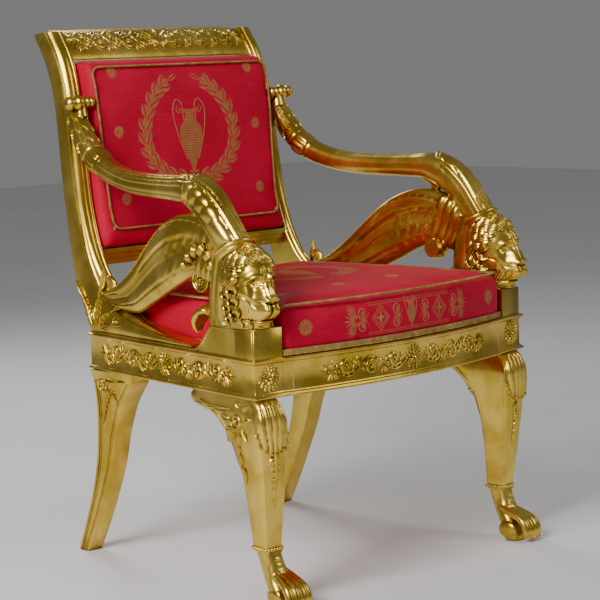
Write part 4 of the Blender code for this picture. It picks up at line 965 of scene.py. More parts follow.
def lion_head():
    """The right-hand lion's head: a carved face, closed behind, under a mane of strands."""
    pile = Pile()
    table = smooth_path(HEAD, 134)
    u = np.linspace(-1, 1, 114)
    b = np.linspace(0, math.pi, 24)[1:-1]
    rings = []
    for z, reach, half, snout, wide, behind in table:
        x = half * np.sin(0.5 * math.pi * u)
        skull = reach * np.clip(1 - np.abs(x / half) ** 2.6, 0, 1) ** 0.45
        front = skull + snout / (1 + np.exp(8.0 * (np.abs(x) / wide - 1)))
        front = front + face_relief(x, z) * smooth_step(1.0, 0.93, np.abs(u))
        xs = np.concatenate([x, half * np.cos(b)])
        ys = np.concatenate([HEAD_AXIS - front, HEAD_AXIS + behind * np.sin(b) ** 0.8])
        rings.append(head_point(xs, ys, z))
    pile.rings(rings)
    mane(pile)
    return pile


HEAD = (
    # height, reach of forehead and cheeks, half width, muzzle's further reach and half width, reach behind
    (0.00, 0.250, 0.205, 0.045, 0.130, 0.30), (0.05, 0.250, 0.212, 0.060, 0.130, 0.31),
    (0.09, 0.250, 0.220, 0.105, 0.128, 0.32), (0.13, 0.252, 0.228, 0.150, 0.130, 0.33),
    (0.20, 0.260, 0.240, 0.180, 0.134, 0.34), (0.28, 0.270, 0.252, 0.190, 0.132, 0.36),
    (0.36, 0.280, 0.260, 0.196, 0.124, 0.38), (0.42, 0.285, 0.265, 0.165, 0.112, 0.39),
    (0.50, 0.295, 0.268, 0.118, 0.100, 0.39), (0.58, 0.310, 0.268, 0.062, 0.088, 0.38),
    (0.64, 0.322, 0.264, 0.024, 0.084, 0.36), (0.72, 0.308, 0.248, 0.004, 0.084, 0.33),
    (0.82, 0.245, 0.212, 0.000, 0.084, 0.27), (0.90, 0.155, 0.160, 0.000, 0.084, 0.19),
    (0.96, 0.050, 0.080, 0.000, 0.084, 0.09),
)
HEAD_AXIS = 0.06
EYE_X, EYE_Z = 0.118, 0.536


def hill(x, z, at, size, power=1.0):
    return np.exp(-(((x - at[0]) / size[0]) ** 2 + ((z - at[1]) / size[1]) ** 2) ** power)


def ridge(z, line, wide):
    return np.exp(-(((z - line) / wide) ** 2))


def face_relief(x, z):
    """Swell of the lion's face towards its front: brows, eyes, nose, lips, folds and cheeks."""
    x = np.abs(x)
    from_eye = x - EYE_X
    brow = smooth_step(0.015, 0.06, x) * smooth_step(0.235, 0.18, x)
    out = 0.050 * brow * ridge(z, 0.640 - 5.0 * (x - 0.105) ** 2, 0.032)
    out = out - 0.078 * hill(x, z, (EYE_X - 0.006, 0.545), (0.064, 0.040))
    out = out + 0.050 * hill(x, z, (EYE_X, EYE_Z), (0.036, 0.027), 1.6)
    lid = smooth_step(0.060, 0.044, np.abs(from_eye))
    lids = 0.022 * ridge(z, 0.566 - 8 * from_eye**2, 0.008) + 0.015 * ridge(z, 0.506 + 7 * from_eye**2,
                                                                            0.007)
    out = out + lid * lids
    out = out - 0.016 * hill(x, z, (EYE_X - 0.006, EYE_Z), (0.009, 0.009))
    out = out + 0.020 * hill(x, z, (0.070, 0.715), (0.055, 0.050))
    out = out - 0.018 * ridge(x, 0.0, 0.022) * smooth_step(0.60, 0.66, z)
    out = out + 0.022 * smooth_step(0.062, 0.040, x) * smooth_step(0.36, 0.40,
                                                                   z) * smooth_step(0.62, 0.54, z)
    out = out + 0.030 * hill(x, z, (0.0, 0.372), (0.095, 0.034))
    out = out + 0.026 * hill(x, z, (0.080, 0.352), (0.030, 0.028))
    out = out - 0.038 * hill(x, z, (0.052, 0.326), (0.022, 0.013))
    out = out - 0.030 * ridge(z, 0.300 + 0.30 * x, 0.013) * smooth_step(0.14, 0.09, x)
    out = out - 0.036 * ridge(x, 0.0, 0.012) * smooth_step(0.100, 0.13, z) * smooth_step(0.325, 0.30, z)
    out = out + 0.066 * hill(x, z, (0.086, 0.215), (0.064, 0.078))
    out = out - 0.042 * ridge(z, 0.112 - 0.6 * x**2, 0.013) * (x < 0.17)
    for k in range(4):
        fold = smooth_step(0.105, 0.14, z) * smooth_step(0.310, 0.26, z)
        out = out + 0.024 * fold * ridge(x, 0.150 + 0.020 * k + 2.0 * (z - 0.20) ** 2, 0.0070)
    crease = 0.026 * ridge(x, 0.150 + 0.9 * (z - 0.30) * (z > 0.30), 0.016)
    out = out - crease * smooth_step(0.27, 0.31, z) * smooth_step(0.47, 0.40, z)
    out = out + 0.060 * hill(x, z, (0.220, 0.370), (0.062, 0.130))
    out = out + 0.012 * np.abs(np.sin(math.pi * z / 0.034)) ** 0.6 * (z < 0.102)
    return out


def scalp(turn, back, out=0.0):
    """A place in the mane: turn runs from the side over the top, back from the face, out from the skin."""
    where = stacked(np.cos(turn) * np.sin(back), -np.cos(back), np.sin(turn) * np.sin(back))
    return np.array((0.0, 0.10,
                     0.565)) + (np.array((0.258, 0.345, 0.375)) + np.asarray(out)[..., None]) * where


def lock(pile, turn, back, reach, lean, curl, lift, base=0.006):
    """A combed lock that runs back from the face, leans and curls at its tip."""
    s = np.linspace(0, 1, 7)
    for j in np.linspace(-1, 1, 4):
        spread = 0.115 * j * np.sin(math.pi * (0.20 + 0.70 * s)) / max(math.sin(back), 0.6)
        height = base * (1 - 0.6 * s) + lift * np.sin(math.pi * s**0.75) * (1 - 0.25 * abs(j))
        strand(pile, scalp(turn + spread + lean * s + curl * s**3, back + reach * s, height),
               (0.011, 0.018, 0.020, 0.019, 0.008), 5, 11)


def ringlet(pile, way, y, z, size, spin):
    """A C-shaped curl of four strands that lies on the side of the head."""
    table = np.array(HEAD)
    half, reach, behind = (np.interp(z, table[:, 0], table[:, k]) for k in (2, 1, 5))
    depth = (HEAD_AXIS - y) / reach if y < HEAD_AXIS else (y - HEAD_AXIS) / behind
    hub = np.array([way * half * (1 - min(abs(depth), 0.95) ** 2.4) ** 0.40, y, z])
    outward = unit(np.array([way, -0.9 * depth if y < HEAD_AXIS else 0.9 * depth, 0.0]))
    along = unit(np.cross(outward, (0.0, 0.0, 1.0)))
    for j in range(4):
        a = spin * np.linspace(-0.9 + 0.25 * j, 2.5 - 0.10 * j, 8)[:, None]
        r = size * (1.15 - 0.27 * j)
        path = hub + r * (1.15 * np.cos(a) * along + np.sin(a) * (0.0, 0.0, 1.0))
        path = path + outward * (0.002 + (0.020 - 0.002 * j) * np.sin(np.linspace(0.2, 2.7, 8)))[:, None]
        strand(pile, path, (0.010, 0.025, 0.030, 0.027, 0.009), 6, 11)


def mane(pile):
    """Fringe, rows of locks behind it and large curls behind the cheeks."""
    for row, (back, reach, count, lift) in enumerate(((0.56, 0.62, 13, 0.052), (0.98, 0.62, 14, 0.056),
                                                      (1.42, 0.58, 13, 0.048), (1.82, 0.60, 12, 0.034))):
        for k in range(count):
            turn = 0.10 + (math.pi - 0.20) * (k + 0.5 * (row % 2)) / (count - 1 + 0.5 * (row % 2))
            way = 1 if turn < math.pi / 2 else -1
            start = back + 0.05 * (k % 2) + (0.62, 0.34, 0.10, 0.0)[row] * (1 - math.sin(turn))
            lock(pile, turn, start, reach, -way * 0.20, way * (0.60 if k % 3 else -0.30), lift,
                 0.026 if row == 0 else 0.008)
    for way in (1, -1):
        for y, z, size in ((0.020, 0.600, 0.064), (0.035, 0.470, 0.068), (0.040, 0.330, 0.070),
                           (0.040, 0.190, 0.070),
                           (0.010, 0.060, 0.062), (-0.110, 0.040, 0.052), (0.160, 0.400, 0.068),
                           (0.165, 0.260, 0.070),
                           (0.160, 0.115, 0.068), (0.285, 0.330, 0.068), (0.285, 0.190, 0.068),
                           (0.275, 0.065, 0.058)):
            ringlet(pile, way, y, z, size, way)


def wing_relief(s, q):
    """Swell of the wing's outer face; s runs from tail to neck and q from the top to the lower edge."""
    bow = q + 0.20 * np.sin(math.pi * s) * (1 - q)
    plume = 5.0 * bow - 0.4 * s
    cut = np.exp(-((wrapped(2 * math.pi * plume) / 0.34) ** 2))
    coverts = smooth_step(-0.015, 0.015, 0.26 - 0.30 * smooth_step(0.30, 0.72, s) + 0.09 * np.sin(7 * s) - q)
    long_feathers = 0.0016 - 0.0030 * cut
    row, column = 5.5 * (s - 0.50) / 0.33, 3.2 * q
    tip = (row - 0.45 * np.abs(np.cos(math.pi * column))) % 1.0
    down = smooth_step(0.50, 0.60, s) * smooth_step(0.83, 0.79, s)
    down = down * smooth_step(0.28, 0.36, q) * smooth_step(0.95, 0.85, q)
    small = 0.0006 + 0.0014 * tip**1.5 * smooth_step(1.0, 0.90, tip)
    feathers = long_feathers * (1 - coverts) + 0.0026 * coverts
    feathers = feathers * (1 - 0.8 * down) + 0.8 * small * down
    front = smooth_step(0.80, 0.82, s)
    band = np.abs(np.sin(math.pi * 4.0 * (s - 0.80) / 0.20)) ** 0.5 * 0.0034
    return feathers * (1 - front) + band * front


def wing():
    stations, sides = 146, 92
    top, low = smooth_path(WING_TOP, stations), smooth_path(WING_LOW, stations)
    middle = np.array([float(rail_outer(y)) - inside for (y, _), inside in zip(WING_TOP, WING_INSIDE)])
    middle = smooth_path(middle[:, None], stations)
    a = around(sides)
    q = 0.5 - 0.5 * np.cos(a)
    s = np.linspace(0, 1, stations)[:, None]
    thick = squared(np.sin(a), 0.6) * (1 + 0.12 * np.sin(3 * math.pi * q))
    rim = smooth_step(0.0, 0.06, q) * smooth_step(1.0, 0.95, q)
    taper = 0.72 + 0.28 * smooth_step(0.0, 0.22, s)
    relief = (wing_relief(s, q[None]) - 0.0012) * rim * np.where(np.sin(a) > 0, 1.0, 1.5)
    out = WING_HALF * thick * taper + np.sign(np.sin(a)) * relief
    y = top[:, :1] + (low[:, :1] - top[:, :1]) * q
    z = top[:, 1:] + (low[:, 1:] - top[:, 1:]) * q
    return stacked(middle + out, y, z)


def lion_trimmings(pile):
    """Neck, collar, volute, leaves and knob of the right-hand lion."""
    stem = smooth_path([(-0.198, 0.034, 0.610), (-0.186, 0.030, 0.570), (-0.178, 0.030, 0.530),
                        (-0.176, 0.032, 0.490),
                        (-0.178, 0.034, 0.4765)], 40)
    a = around(64)
    flute = 1 - 0.10 * sum(np.exp(-((wrapped(a - at) / 0.16) ** 2)) for at in (-0.75, 0.0, 0.75))
    pile.rings([stacked(LION_X - 0.003 + 0.027 * flute * np.cos(a), y + half * np.sin(a), z)
                for y, half, z in stem])
    collar = smooth_path([(-0.0050, 0.030), (-0.0035, 0.0345), (-0.0015, 0.0366), (0.0005, 0.0370),
                          (0.0025, 0.0362),
                          (0.0035, 0.0340), (0.0050, 0.0322), (0.0070, 0.0330), (0.0095, 0.0322),
                          (0.0120, 0.0300)], 60)
    pile.turned(COLLAR_CENTRE, COLLAR_AXIS, collar, 60)
    hub = np.array((LION_X - 0.018, -0.110, 0.546))
    ring = smooth_path([(-0.014, 0.018), (-0.004, 0.0215), (0.006, 0.0225), (0.011, 0.0215),
                        (0.0130, 0.0195),
                        (0.0115, 0.0172), (0.0095, 0.0160), (0.0100, 0.0148), (0.0120, 0.0136),
                        (0.0115, 0.0122),
                        (0.0095, 0.0110), (0.0100, 0.0060), (0.0105, 0.0010)], 80)
    pile.turned(hub, (1, 0, 0), ring, 48)
    for k in range(9):
        t = 2 * math.pi * k / 9
        pile.ball(hub + (0.0105, 0.0078 * math.cos(t), 0.0078 * math.sin(t)), (0.0026, 0.0024, 0.0024), None,
                  10)
    pile.ball(hub + (0.0110, 0, 0), (0.0034, 0.0040, 0.0040), None, 14)
    for y, z, size, turn in ((-0.150, 0.574, 0.0120, 1.15), (-0.143, 0.592, 0.0140, 0.75),
                             (-0.126, 0.601, 0.0145, 0.35),
                             (-0.107, 0.598, 0.0130, -0.05), (-0.091, 0.587, 0.0110, -0.45),
                             (-0.079, 0.573, 0.0085, -0.80)):
        ahead = np.array((0.0, math.sin(-turn), math.cos(turn)))
        for j in range(5):
            lean = turn + (j - 2) * 0.17
            way = np.array((0.0, math.sin(-lean), math.cos(lean)))
            root = np.array((LION_X - 0.001, y, z)) - ahead * size
            path = root + np.linspace(0, 1, 16)[:, None] * way * size * (1.80 - 0.13 * abs(j - 2))
            path[:, 0] += 0.0075 * np.sin(np.linspace(0, math.pi * 0.9, 16)) * (1 - 0.10 * abs(j - 2))
            pile.tube(path, 0.34 * size * np.sin(np.linspace(0.06, 3.08, 16)) ** 0.5, 12)
    drop = smooth_path([(-0.152, 0.490), (-0.138, 0.500), (-0.120, 0.493), (-0.109, 0.476), (-0.109, 0.460)],
                       30)
    swell = np.interp(np.linspace(0, 1, 30), np.linspace(0, 1, 8),
                      (0.004, 0.011, 0.0145, 0.015, 0.0145, 0.0125, 0.009, 0.003))
    for j in range(7):
        lean = (j - 3) / 3
        path = stacked(LION_X + 0.85 * swell * lean, drop[:, 0], drop[:, 1] - 0.003 * lean**2)
        lobes = 0.84 + 0.16 * np.abs(np.cos(np.linspace(0, 3 * math.pi, 30) + 0.4 * abs(lean)))
        pile.tube(path, (0.46 * swell * (1 - 0.15 * abs(lean)) + 0.0006) * lobes, 12)
    bud = np.array((float(rail_outer(0.180)) - 0.019, 0.180, 0.519))
    for j in range(4):
        path = bud + np.linspace(-1, 1, 12)[:, None] * np.array((0, 0.0115,
                                                                 0.006)) + (0.001, 0.0, 0.0040 * (j - 1.5))
        pile.tube(path, 0.0048 * np.sin(np.linspace(0.3, 2.9, 12)) ** 0.6 + 0.0006, 12)


def winged_lion(side, head, trimmings):
    hand = SIDES[side]
    pile = Pile()
    pile.rings(wing() * (hand, 1, 1))
    for part in (head, trimmings):
        pile.add(np.vstack(part.points) * (hand, 1, 1), part.faces)
    return gilded(f"{side}_winged_lion_carved", pile, [f"{side}_winged_lion"], 60)


# Upholstery

PAD_FACE_LOW, PAD_FACE_HIGH = 0.608, 0.914
LOWER_RAIL_TOP = 0.575


def pad_front(z):
    """Depth of the back pad's face."""
    table = np.array(STILE_FRONT[5:])
    lean = np.interp(z, (PAD_FACE_LOW, PAD_FACE_HIGH), (0.017, 0.034))
    return np.interp(z, table[:, 1], table[:, 0]) - lean


def pad_face_half(z):
    return stile_inner(z) - np.interp(z, (PAD_FACE_LOW, PAD_FACE_HIGH), (0.020, 0.0027))


def seat_half(y):
    """Half width of the seat pad: between the blocks in front, then inside the side rails."""
    table = np.array(STILE_FRONT)
    between_blocks = block_inner(np.minimum(y, FRAME_FRONT + BLOCK_DEEP)) - 0.003
    sweep = np.minimum(np.interp(y, table[:, 0], table[:, 1]), SEAT_TOP)
    return np.minimum(between_blocks, stile_outer(y, sweep) - STILE_WIDE - 0.003)


def seat_outline(inset, spacing=0.006):
    """The seat's edge seen from above, anticlockwise from the rear left corner, with eased corners."""
    front_y = front_face(float(seat_half(FRAME_FRONT))) + 0.003 + inset
    ys = np.linspace(SEAT_REAR - inset, front_y, 60)
    left = stacked(-(seat_half(ys) - inset), ys)
    half = float(seat_half(front_y)) - inset
    xs = np.linspace(-half, half, 90)[1:-1]
    front = stacked(xs, front_face(xs) + 0.003 + inset)
    loop = np.vstack([left, front, left[::-1] * (-1, 1)])
    closed = np.vstack([loop, loop[:1]])
    run = np.concatenate([[0], np.cumsum(np.linalg.norm(np.diff(closed, axis=0), axis=1))])
    where = np.linspace(0, run[-1], int(run[-1] / spacing), endpoint=False)
    even = np.stack([np.interp(where, run, closed[:, k]) for k in range(2)], -1)
    for _ in range(2):
        even = 0.25 * np.roll(even, 1, 0) + 0.5 * even + 0.25 * np.roll(even, -1, 0)
    return even


def stuffed(name, form, node, paint, held, swell, sizes):
    """A pad: its plain form, swollen like a stuffed cover."""
    pad = puffed(mesh_object(name, form, SHIFT), sizes, swell, held)
    pad.name = name
    fitted(pad, paint, [node])
    return pad


def woven(name, pile):
    """The motifs of a pad, as raised thread."""
    return fitted(mesh_object(name, pile, SHIFT), "motif_thread")


def seat_form():
    """The seat's plain pillow: straight borders, a rounded edge and a crown."""
    pile = Pile()
    outline = seat_outline(0.0)
    middle = np.array((0.0, -0.06))
    rings = []
    for z, inset in ((RAIL_TOP + 0.0006, 0.004), (RAIL_TOP + 0.003, 0.0012), (RAIL_TOP + 0.010, 0.0006),
                     (0.440, 0.0004), (0.455, 0.0), (0.470, 0.0), (0.485, 0.0004), (0.494, 0.0010),
                     (0.500, 0.0020),
                     (0.5045, 0.0045), (0.507, 0.0085)):
        rings.append(stacked(*(middle + (outline - middle) * (1 - inset / 0.25)).T, z))
    for share in np.linspace(0.94, 0.04, 26):
        top = SEAT_TOP + (SEAT_CROWN - 0.001) * (1 - share**2.2)
        rings.append(stacked(*(middle + (outline - middle) * share).T, top))
    pile.rings(rings)
    return pile


def back_form():
    """The back pad's plain form: a flat face inside a rolled slope down to the frame."""
    pile = Pile()
    low, high = LOWER_RAIL_TOP + 0.0015, CREST_LOW - 0.001

    def ring(share, back):
        """share runs from 0 at the pad's edge to 1 at the cord, and on to 2 at the middle."""
        inner = min(share, 1.0)
        z0 = low + (PAD_FACE_LOW - low) * inner + max(share - 1, 0) * 0.150
        z1 = high + (PAD_FACE_HIGH - high) * inner - max(share - 1, 0) * 0.150
        zs = np.linspace(z0, z1, 52)
        edge = stile_inner(zs) - 0.0015
        half = (edge + (pad_face_half(zs) - edge) * inner) * (1 - 0.97 * max(share - 1, 0))
        right = stacked(half, pad_front(zs) + back, zs)
        tops = np.linspace(half[-1], -half[-1], 82)[1:-1]
        top = stacked(tops, float(pad_front(z1)) + back, z1)
        lows = np.linspace(-half[0], half[0], 82)[1:-1]
        bottom = stacked(lows, float(pad_front(z0)) + back, z0)
        return np.vstack([right, top, right[::-1] * (-1, 1, 1), bottom])

    rings = [ring(0.0, 0.052), ring(0.0, 0.013)]
    for t in np.linspace(0.1, 1, 10):
        rings.append(ring(t, 0.012 - 0.012 * math.sin(t * math.pi / 2)))
    for t in np.linspace(0.05, 0.98, 20):
        rings.append(ring(1 + t, -0.0015 * math.sin(t * math.pi / 2)))
    pile.rings(rings)
    return pile


PUFF_FRAMES = 20


def puffed(item, sizes, cap, held):
    """Swells a closed form like a stuffed cover; held says which points the frame keeps in place."""
    fuse = item.modifiers.new("Even mesh", "REMESH")
    fuse.mode = "VOXEL"
    fuse.voxel_size = sizes.pad_mesh
    item = flattened(item)
    count = len(item.data.vertices)
    start = np.empty(count * 3)
    item.data.vertices.foreach_get("co", start)
    start = start.reshape(-1, 3)
    kept = np.flatnonzero(held(start))
    group = item.vertex_groups.new(name="held")
    group.add(kept.tolist(), 1.0, "REPLACE")
    cloth = item.modifiers.new("Stuffing", "CLOTH")
    settings = cloth.settings
    settings.quality = 6
    settings.mass = 0.25
    settings.tension_stiffness = settings.compression_stiffness = 25
    settings.bending_stiffness = 2.0
    settings.use_pressure = True
    settings.uniform_pressure_force = sizes.pad_pressure
    settings.effector_weights.gravity = 0
    settings.vertex_group_mass = "held"
    cloth.point_cache.frame_end = PUFF_FRAMES
    for step in range(1, PUFF_FRAMES + 1):
        bpy.context.scene.frame_set(step)
    item = flattened(item)
    moved = np.empty(count * 3)
    item.data.vertices.foreach_get("co", moved)
    move = moved.reshape(-1, 3) - start
    far = np.linalg.norm(move, axis=1, keepdims=True)
    move *= cap * np.tanh(far / cap) / (far + 1e-9)
    item.data.vertices.foreach_set("co", (start + move).ravel())
    bpy.context.scene.frame_set(1)
    item.vertex_groups.clear()
    ease = item.modifiers.new("Ease", "SMOOTH")
    ease.iterations = 2
    finer = item.modifiers.new("Finer", "SUBSURF")
    finer.levels = finer.render_levels = 1
    return flattened(item)


def on_surface(item, ahead):
    """Maps (along, up, out) to a pad's surface by rays along ahead, which is -Z for a seat's top."""
    item.data.calc_loop_triangles()
    tree = BVHTree.FromObject(item, bpy.context.evaluated_depsgraph_get())
    ahead = Vector(ahead)
    level = abs(ahead.z) > 0.5

    def place(u, v, out):
        u, v, out = np.broadcast_arrays(u, v, out)
        made = np.empty(u.shape + (3,))
        for index in np.ndindex(u.shape):
            a, b = float(u[index]), float(v[index])
            origin = Vector((a, b + SHIFT, 0.60)) if level else Vector((a, -0.60, b))
            hit, normal, _, _ = tree.ray_cast(origin, ahead)
            if hit is None:
                near = Vector((a, b + SHIFT, 0.515)) if level else Vector((a, float(pad_front(b)) + SHIFT,
                                                                           b))
                hit, normal, _, _ = tree.find_nearest(near)
            point = hit + normal * float(out[index])
            made[index] = (point.x, point.y - SHIFT, point.z)
        return made

    return place


THREAD = 0.0005


def laurel(pile, points, place, pairs=9, size=0.026):
    """A branch along a path, with pairs of broad pointed leaves and berries between them."""
    path = smooth_path(points, 60)
    ahead = np.gradient(path, axis=0)
    turn = np.arctan2(ahead[:, 1], ahead[:, 0])
    stroke(pile, path, np.full(60, 0.0010), np.full(60, THREAD), place, 0, 5)
    for k in range(pairs):
        at = int(1 + 56 * k / pairs)
        reach = size * (1 - 0.15 * k / pairs)
        for way in (-1, 1):
            side = np.array((-math.sin(turn[at]), math.cos(turn[at])))
            leaf(pile, *path[at], turn[at] + way * 0.72, 0.92 * reach, 0.31 * size, place, -way * 0.45,
                 THREAD, 0.3, 8)
            dome(pile, *(path[min(at + 3, 59)] + way * 0.13 * size * side), 0.0016, place, THREAD, 6)
        leaf(pile, *path[min(at + 2, 59)], turn[at], 0.72 * reach, 0.20 * size, place, 0, THREAD, 0.3, 8)
    leaf(pile, *path[-3], turn[-1], 0.9 * size, 0.20 * size, place, 0, THREAD, 0.5, 8)


def amphora(pile, u, v, high, place):
    """A tall two-handled vase: a banded body on a foot, a lip, and handles that reach above it."""
    outline = np.array(((0.0, 0.10), (0.025, 0.085), (0.05, 0.03), (0.12, 0.045), (0.28, 0.130),
                        (0.46, 0.205), (0.62, 0.235),
                        (0.72, 0.215), (0.82, 0.120), (0.90, 0.085), (0.96, 0.085), (0.985, 0.13),
                        (1.0, 0.13)))
    rows = 26
    for k in range(rows):
        rise = (k + 0.5) / rows
        half = np.interp(rise, outline[:, 0], outline[:, 1]) * high
        path = [(u + half * t, v + high * rise) for t in np.linspace(-1, 1, 7)]
        stroke(pile, path, np.full(7, 0.85 * high / rows), np.full(7, THREAD), place, 0, 5)
    for way in (-1, 1):
        path = smooth_path([(u + way * 0.10 * high, v + 0.74 * high),
                            (u + way * 0.13 * high, v + 0.92 * high),
                            (u + way * 0.14 * high, v + 1.10 * high),
                            (u + way * 0.24 * high, v + 1.16 * high),
                            (u + way * 0.33 * high, v + 1.02 * high),
                            (u + way * 0.31 * high, v + 0.78 * high),
                            (u + way * 0.24 * high, v + 0.52 * high),
                            (u + way * 0.12 * high, v + 0.22 * high)], 40)
        stroke(pile, path, np.full(40, 0.018 * high), np.full(40, THREAD), place, 0, 5)
        scroll(pile, u + way * 0.20 * high, v + 1.00 * high, math.pi / 2, 1.0, 0.075 * high, place, -way,
               0.2, THREAD)


def thread_rosette(pile, u, v, radius, place):
    for k in range(8):
        t = 2 * math.pi * k / 8
        leaf(pile, u + 0.22 * radius * math.cos(t), v + 0.22 * radius * math.sin(t), t, 0.76 * radius,
             0.30 * radius,
             place, 0, THREAD, 0, 5)
    for k in range(8):
        t = 2 * math.pi * (k + 0.5) / 8
        dome(pile, u + 0.80 * radius * math.cos(t), v + 0.80 * radius * math.sin(t), 0.13 * radius, place,
             THREAD, 6)
    dome(pile, u, v, 0.20 * radius, place, THREAD, 8)


def lozenge(pile, u, v, wide, high, place):
    """Nested diamonds round a four-leaved flower."""
    for share in (1.0, 0.74):
        corners = [(u + wide * share, v), (u, v + high * share), (u - wide * share, v),
                   (u, v - high * share)]
        for a, b in zip(corners, corners[1:] + corners[:1]):
            stroke(pile, np.linspace(a, b, 6), np.full(6, 0.0011), np.full(6, THREAD), place, 0, 5)
    for k in range(4):
        turn = math.pi / 2 * k
        leaf(pile, u, v, turn, 0.55 * (wide if k % 2 == 0 else high), 0.20 * wide, place, 0, THREAD, 0, 5)
    dome(pile, u, v, 0.18 * wide, place, THREAD, 8)


def seat_upholstery(sizes):
    top = SEAT_TOP - 0.016

    def held(points):
        return points[:, 2] < top

    pad = stuffed("seat_pad_stuffed", seat_form(), "seat_pad", "silk_seat", held, sizes.seat_swell, sizes)
    pile = Pile()
    front = on_surface(pad, (0, 1, 0))
    middle, half = 0.469, 0.168
    amphora(pile, 0.0, middle - 0.024, 0.046, front)
    for way in (-1, 1):
        facing = 0.0 if way > 0 else math.pi
        lozenge(pile, way * 0.076, middle, 0.0200, 0.0225, front)
        for at in (0.036, 0.118):
            for up in (-1, 1):
                scroll(pile, way * at, middle + up * 0.012, facing + math.pi, 1.4, 0.0130, front, way * up,
                       0.15, THREAD)
                for lean in (0.5, 1.1, 1.7):
                    leaf(pile, way * (at - 0.004), middle + up * 0.002, facing + way * up * lean, 0.017,
                         0.0032, front,
                         -way * up * 0.9, THREAD, 0.4, 7)
                    leaf(pile, way * (at + 0.002), middle, facing + way * up * (math.pi - lean), 0.015,
                         0.0030, front,
                         way * up * 0.9, THREAD, 0.4, 7)
        palmette(pile, way * 0.134, middle, facing, 0.030, front, 9, 2.7, 1.0, THREAD)
        for up in (-1, 1):
            palmette(pile, way * 0.140, middle + up * 0.015, facing + way * up * 0.9, 0.018, front, 7, 2.4,
                     1.0, THREAD)
        thread_rosette(pile, way * 0.238, middle, 0.015, front)
    for rise in (-0.0275, -0.0240, 0.0235, 0.0270):
        path = [(x, middle + rise) for x in np.linspace(-0.62 * half, 0.62 * half, 60)]
        stroke(pile, path, np.full(60, 0.0009), np.full(60, THREAD), front, 0, 5)
    above = on_surface(pad, (0, 0, -1))
    for way in (-1, 1):
        laurel(pile, [(way * 0.012, -0.115), (way * 0.062, -0.100), (way * 0.100, -0.060),
                      (way * 0.108, -0.010),
                      (way * 0.085, 0.040), (way * 0.035, 0.070)], above, 9, 0.043)
        for x, y in ((0.215, -0.215), (0.190, -0.060), (0.170, 0.090), (0.070, -0.205), (0.060, 0.130)):
            thread_rosette(pile, way * x, y, 0.014, above)
    amphora(pile, 0.0, -0.085, 0.105, above)
    woven("seat_pad_motifs", pile)


def back_upholstery(sizes):
    top, low = PAD_FACE_HIGH - 0.004, PAD_FACE_LOW + 0.004

    def held(points):
        x, y, z = points.T
        inside = (np.abs(x) < pad_face_half(z) - 0.006) & (z > low) & (z < top)
        return ~(inside & (y - SHIFT < pad_front(z) + 0.004))

    pad = stuffed("back_pad_stuffed", back_form(), "back_pad", "silk_back", held, sizes.back_swell, sizes)
    pile = Pile()
    face = on_surface(pad, (0, 1, 0))
    amphora(pile, 0.0, 0.703, 0.122, face)
    for way in (-1, 1):
        laurel(pile, [(way * 0.012, 0.688), (way * 0.062, 0.702), (way * 0.100, 0.734), (way * 0.113, 0.780),
                      (way * 0.100, 0.828), (way * 0.070, 0.864), (way * 0.034, 0.884)], face, 11, 0.040)
        for x, z in ((0.176, 0.790), (0.173, 0.664), (0.174, 0.902)):
            thread_rosette(pile, way * x, z, 0.0125, face)
    woven("back_pad_motifs", pile)


# Cords and braid, made by node trees

class Nodes:
    """A geometry node tree: one call adds a node, sets its fields and feeds its sockets."""

    def __init__(self, name, inputs):
        self.tree = bpy.data.node_groups.new(name, "GeometryNodeTree")
        face = self.tree.interface
        face.new_socket("Geometry", in_out="INPUT", socket_type="NodeSocketGeometry")
        for label, kind, value in inputs:
            socket = face.new_socket(label, in_out="INPUT", socket_type=kind)
            if value is not None:
                socket.default_value = value
        face.new_socket("Geometry", in_out="OUTPUT", socket_type="NodeSocketGeometry")
        self.inputs = self.tree.nodes.new("NodeGroupInput").outputs
        self.outputs = self.tree.nodes.new("NodeGroupOutput").inputs

    def add(self, kind, feeds=(), out=0, **fields):
        node = self.tree.nodes.new(kind)
        for name, value in fields.items():
            setattr(node, name, value)
        for where, value in dict(feeds).items():
            if isinstance(value, bpy.types.NodeSocket):
                self.tree.links.new(value, node.inputs[where])
            else:
                node.inputs[where].default_value = value
        return node.outputs[out]

    def math(self, operation, a, b=0.0):
        return self.add("ShaderNodeMath", {0: a, 1: b}, operation=operation)

    def end(self, geometry, paint):
        real = self.add("GeometryNodeRealizeInstances", {"Geometry": geometry})
        self.tree.links.new(self.add("GeometryNodeSetMaterial", {"Geometry": real, "Material": paint}),
                            self.outputs[0])
        return self.tree


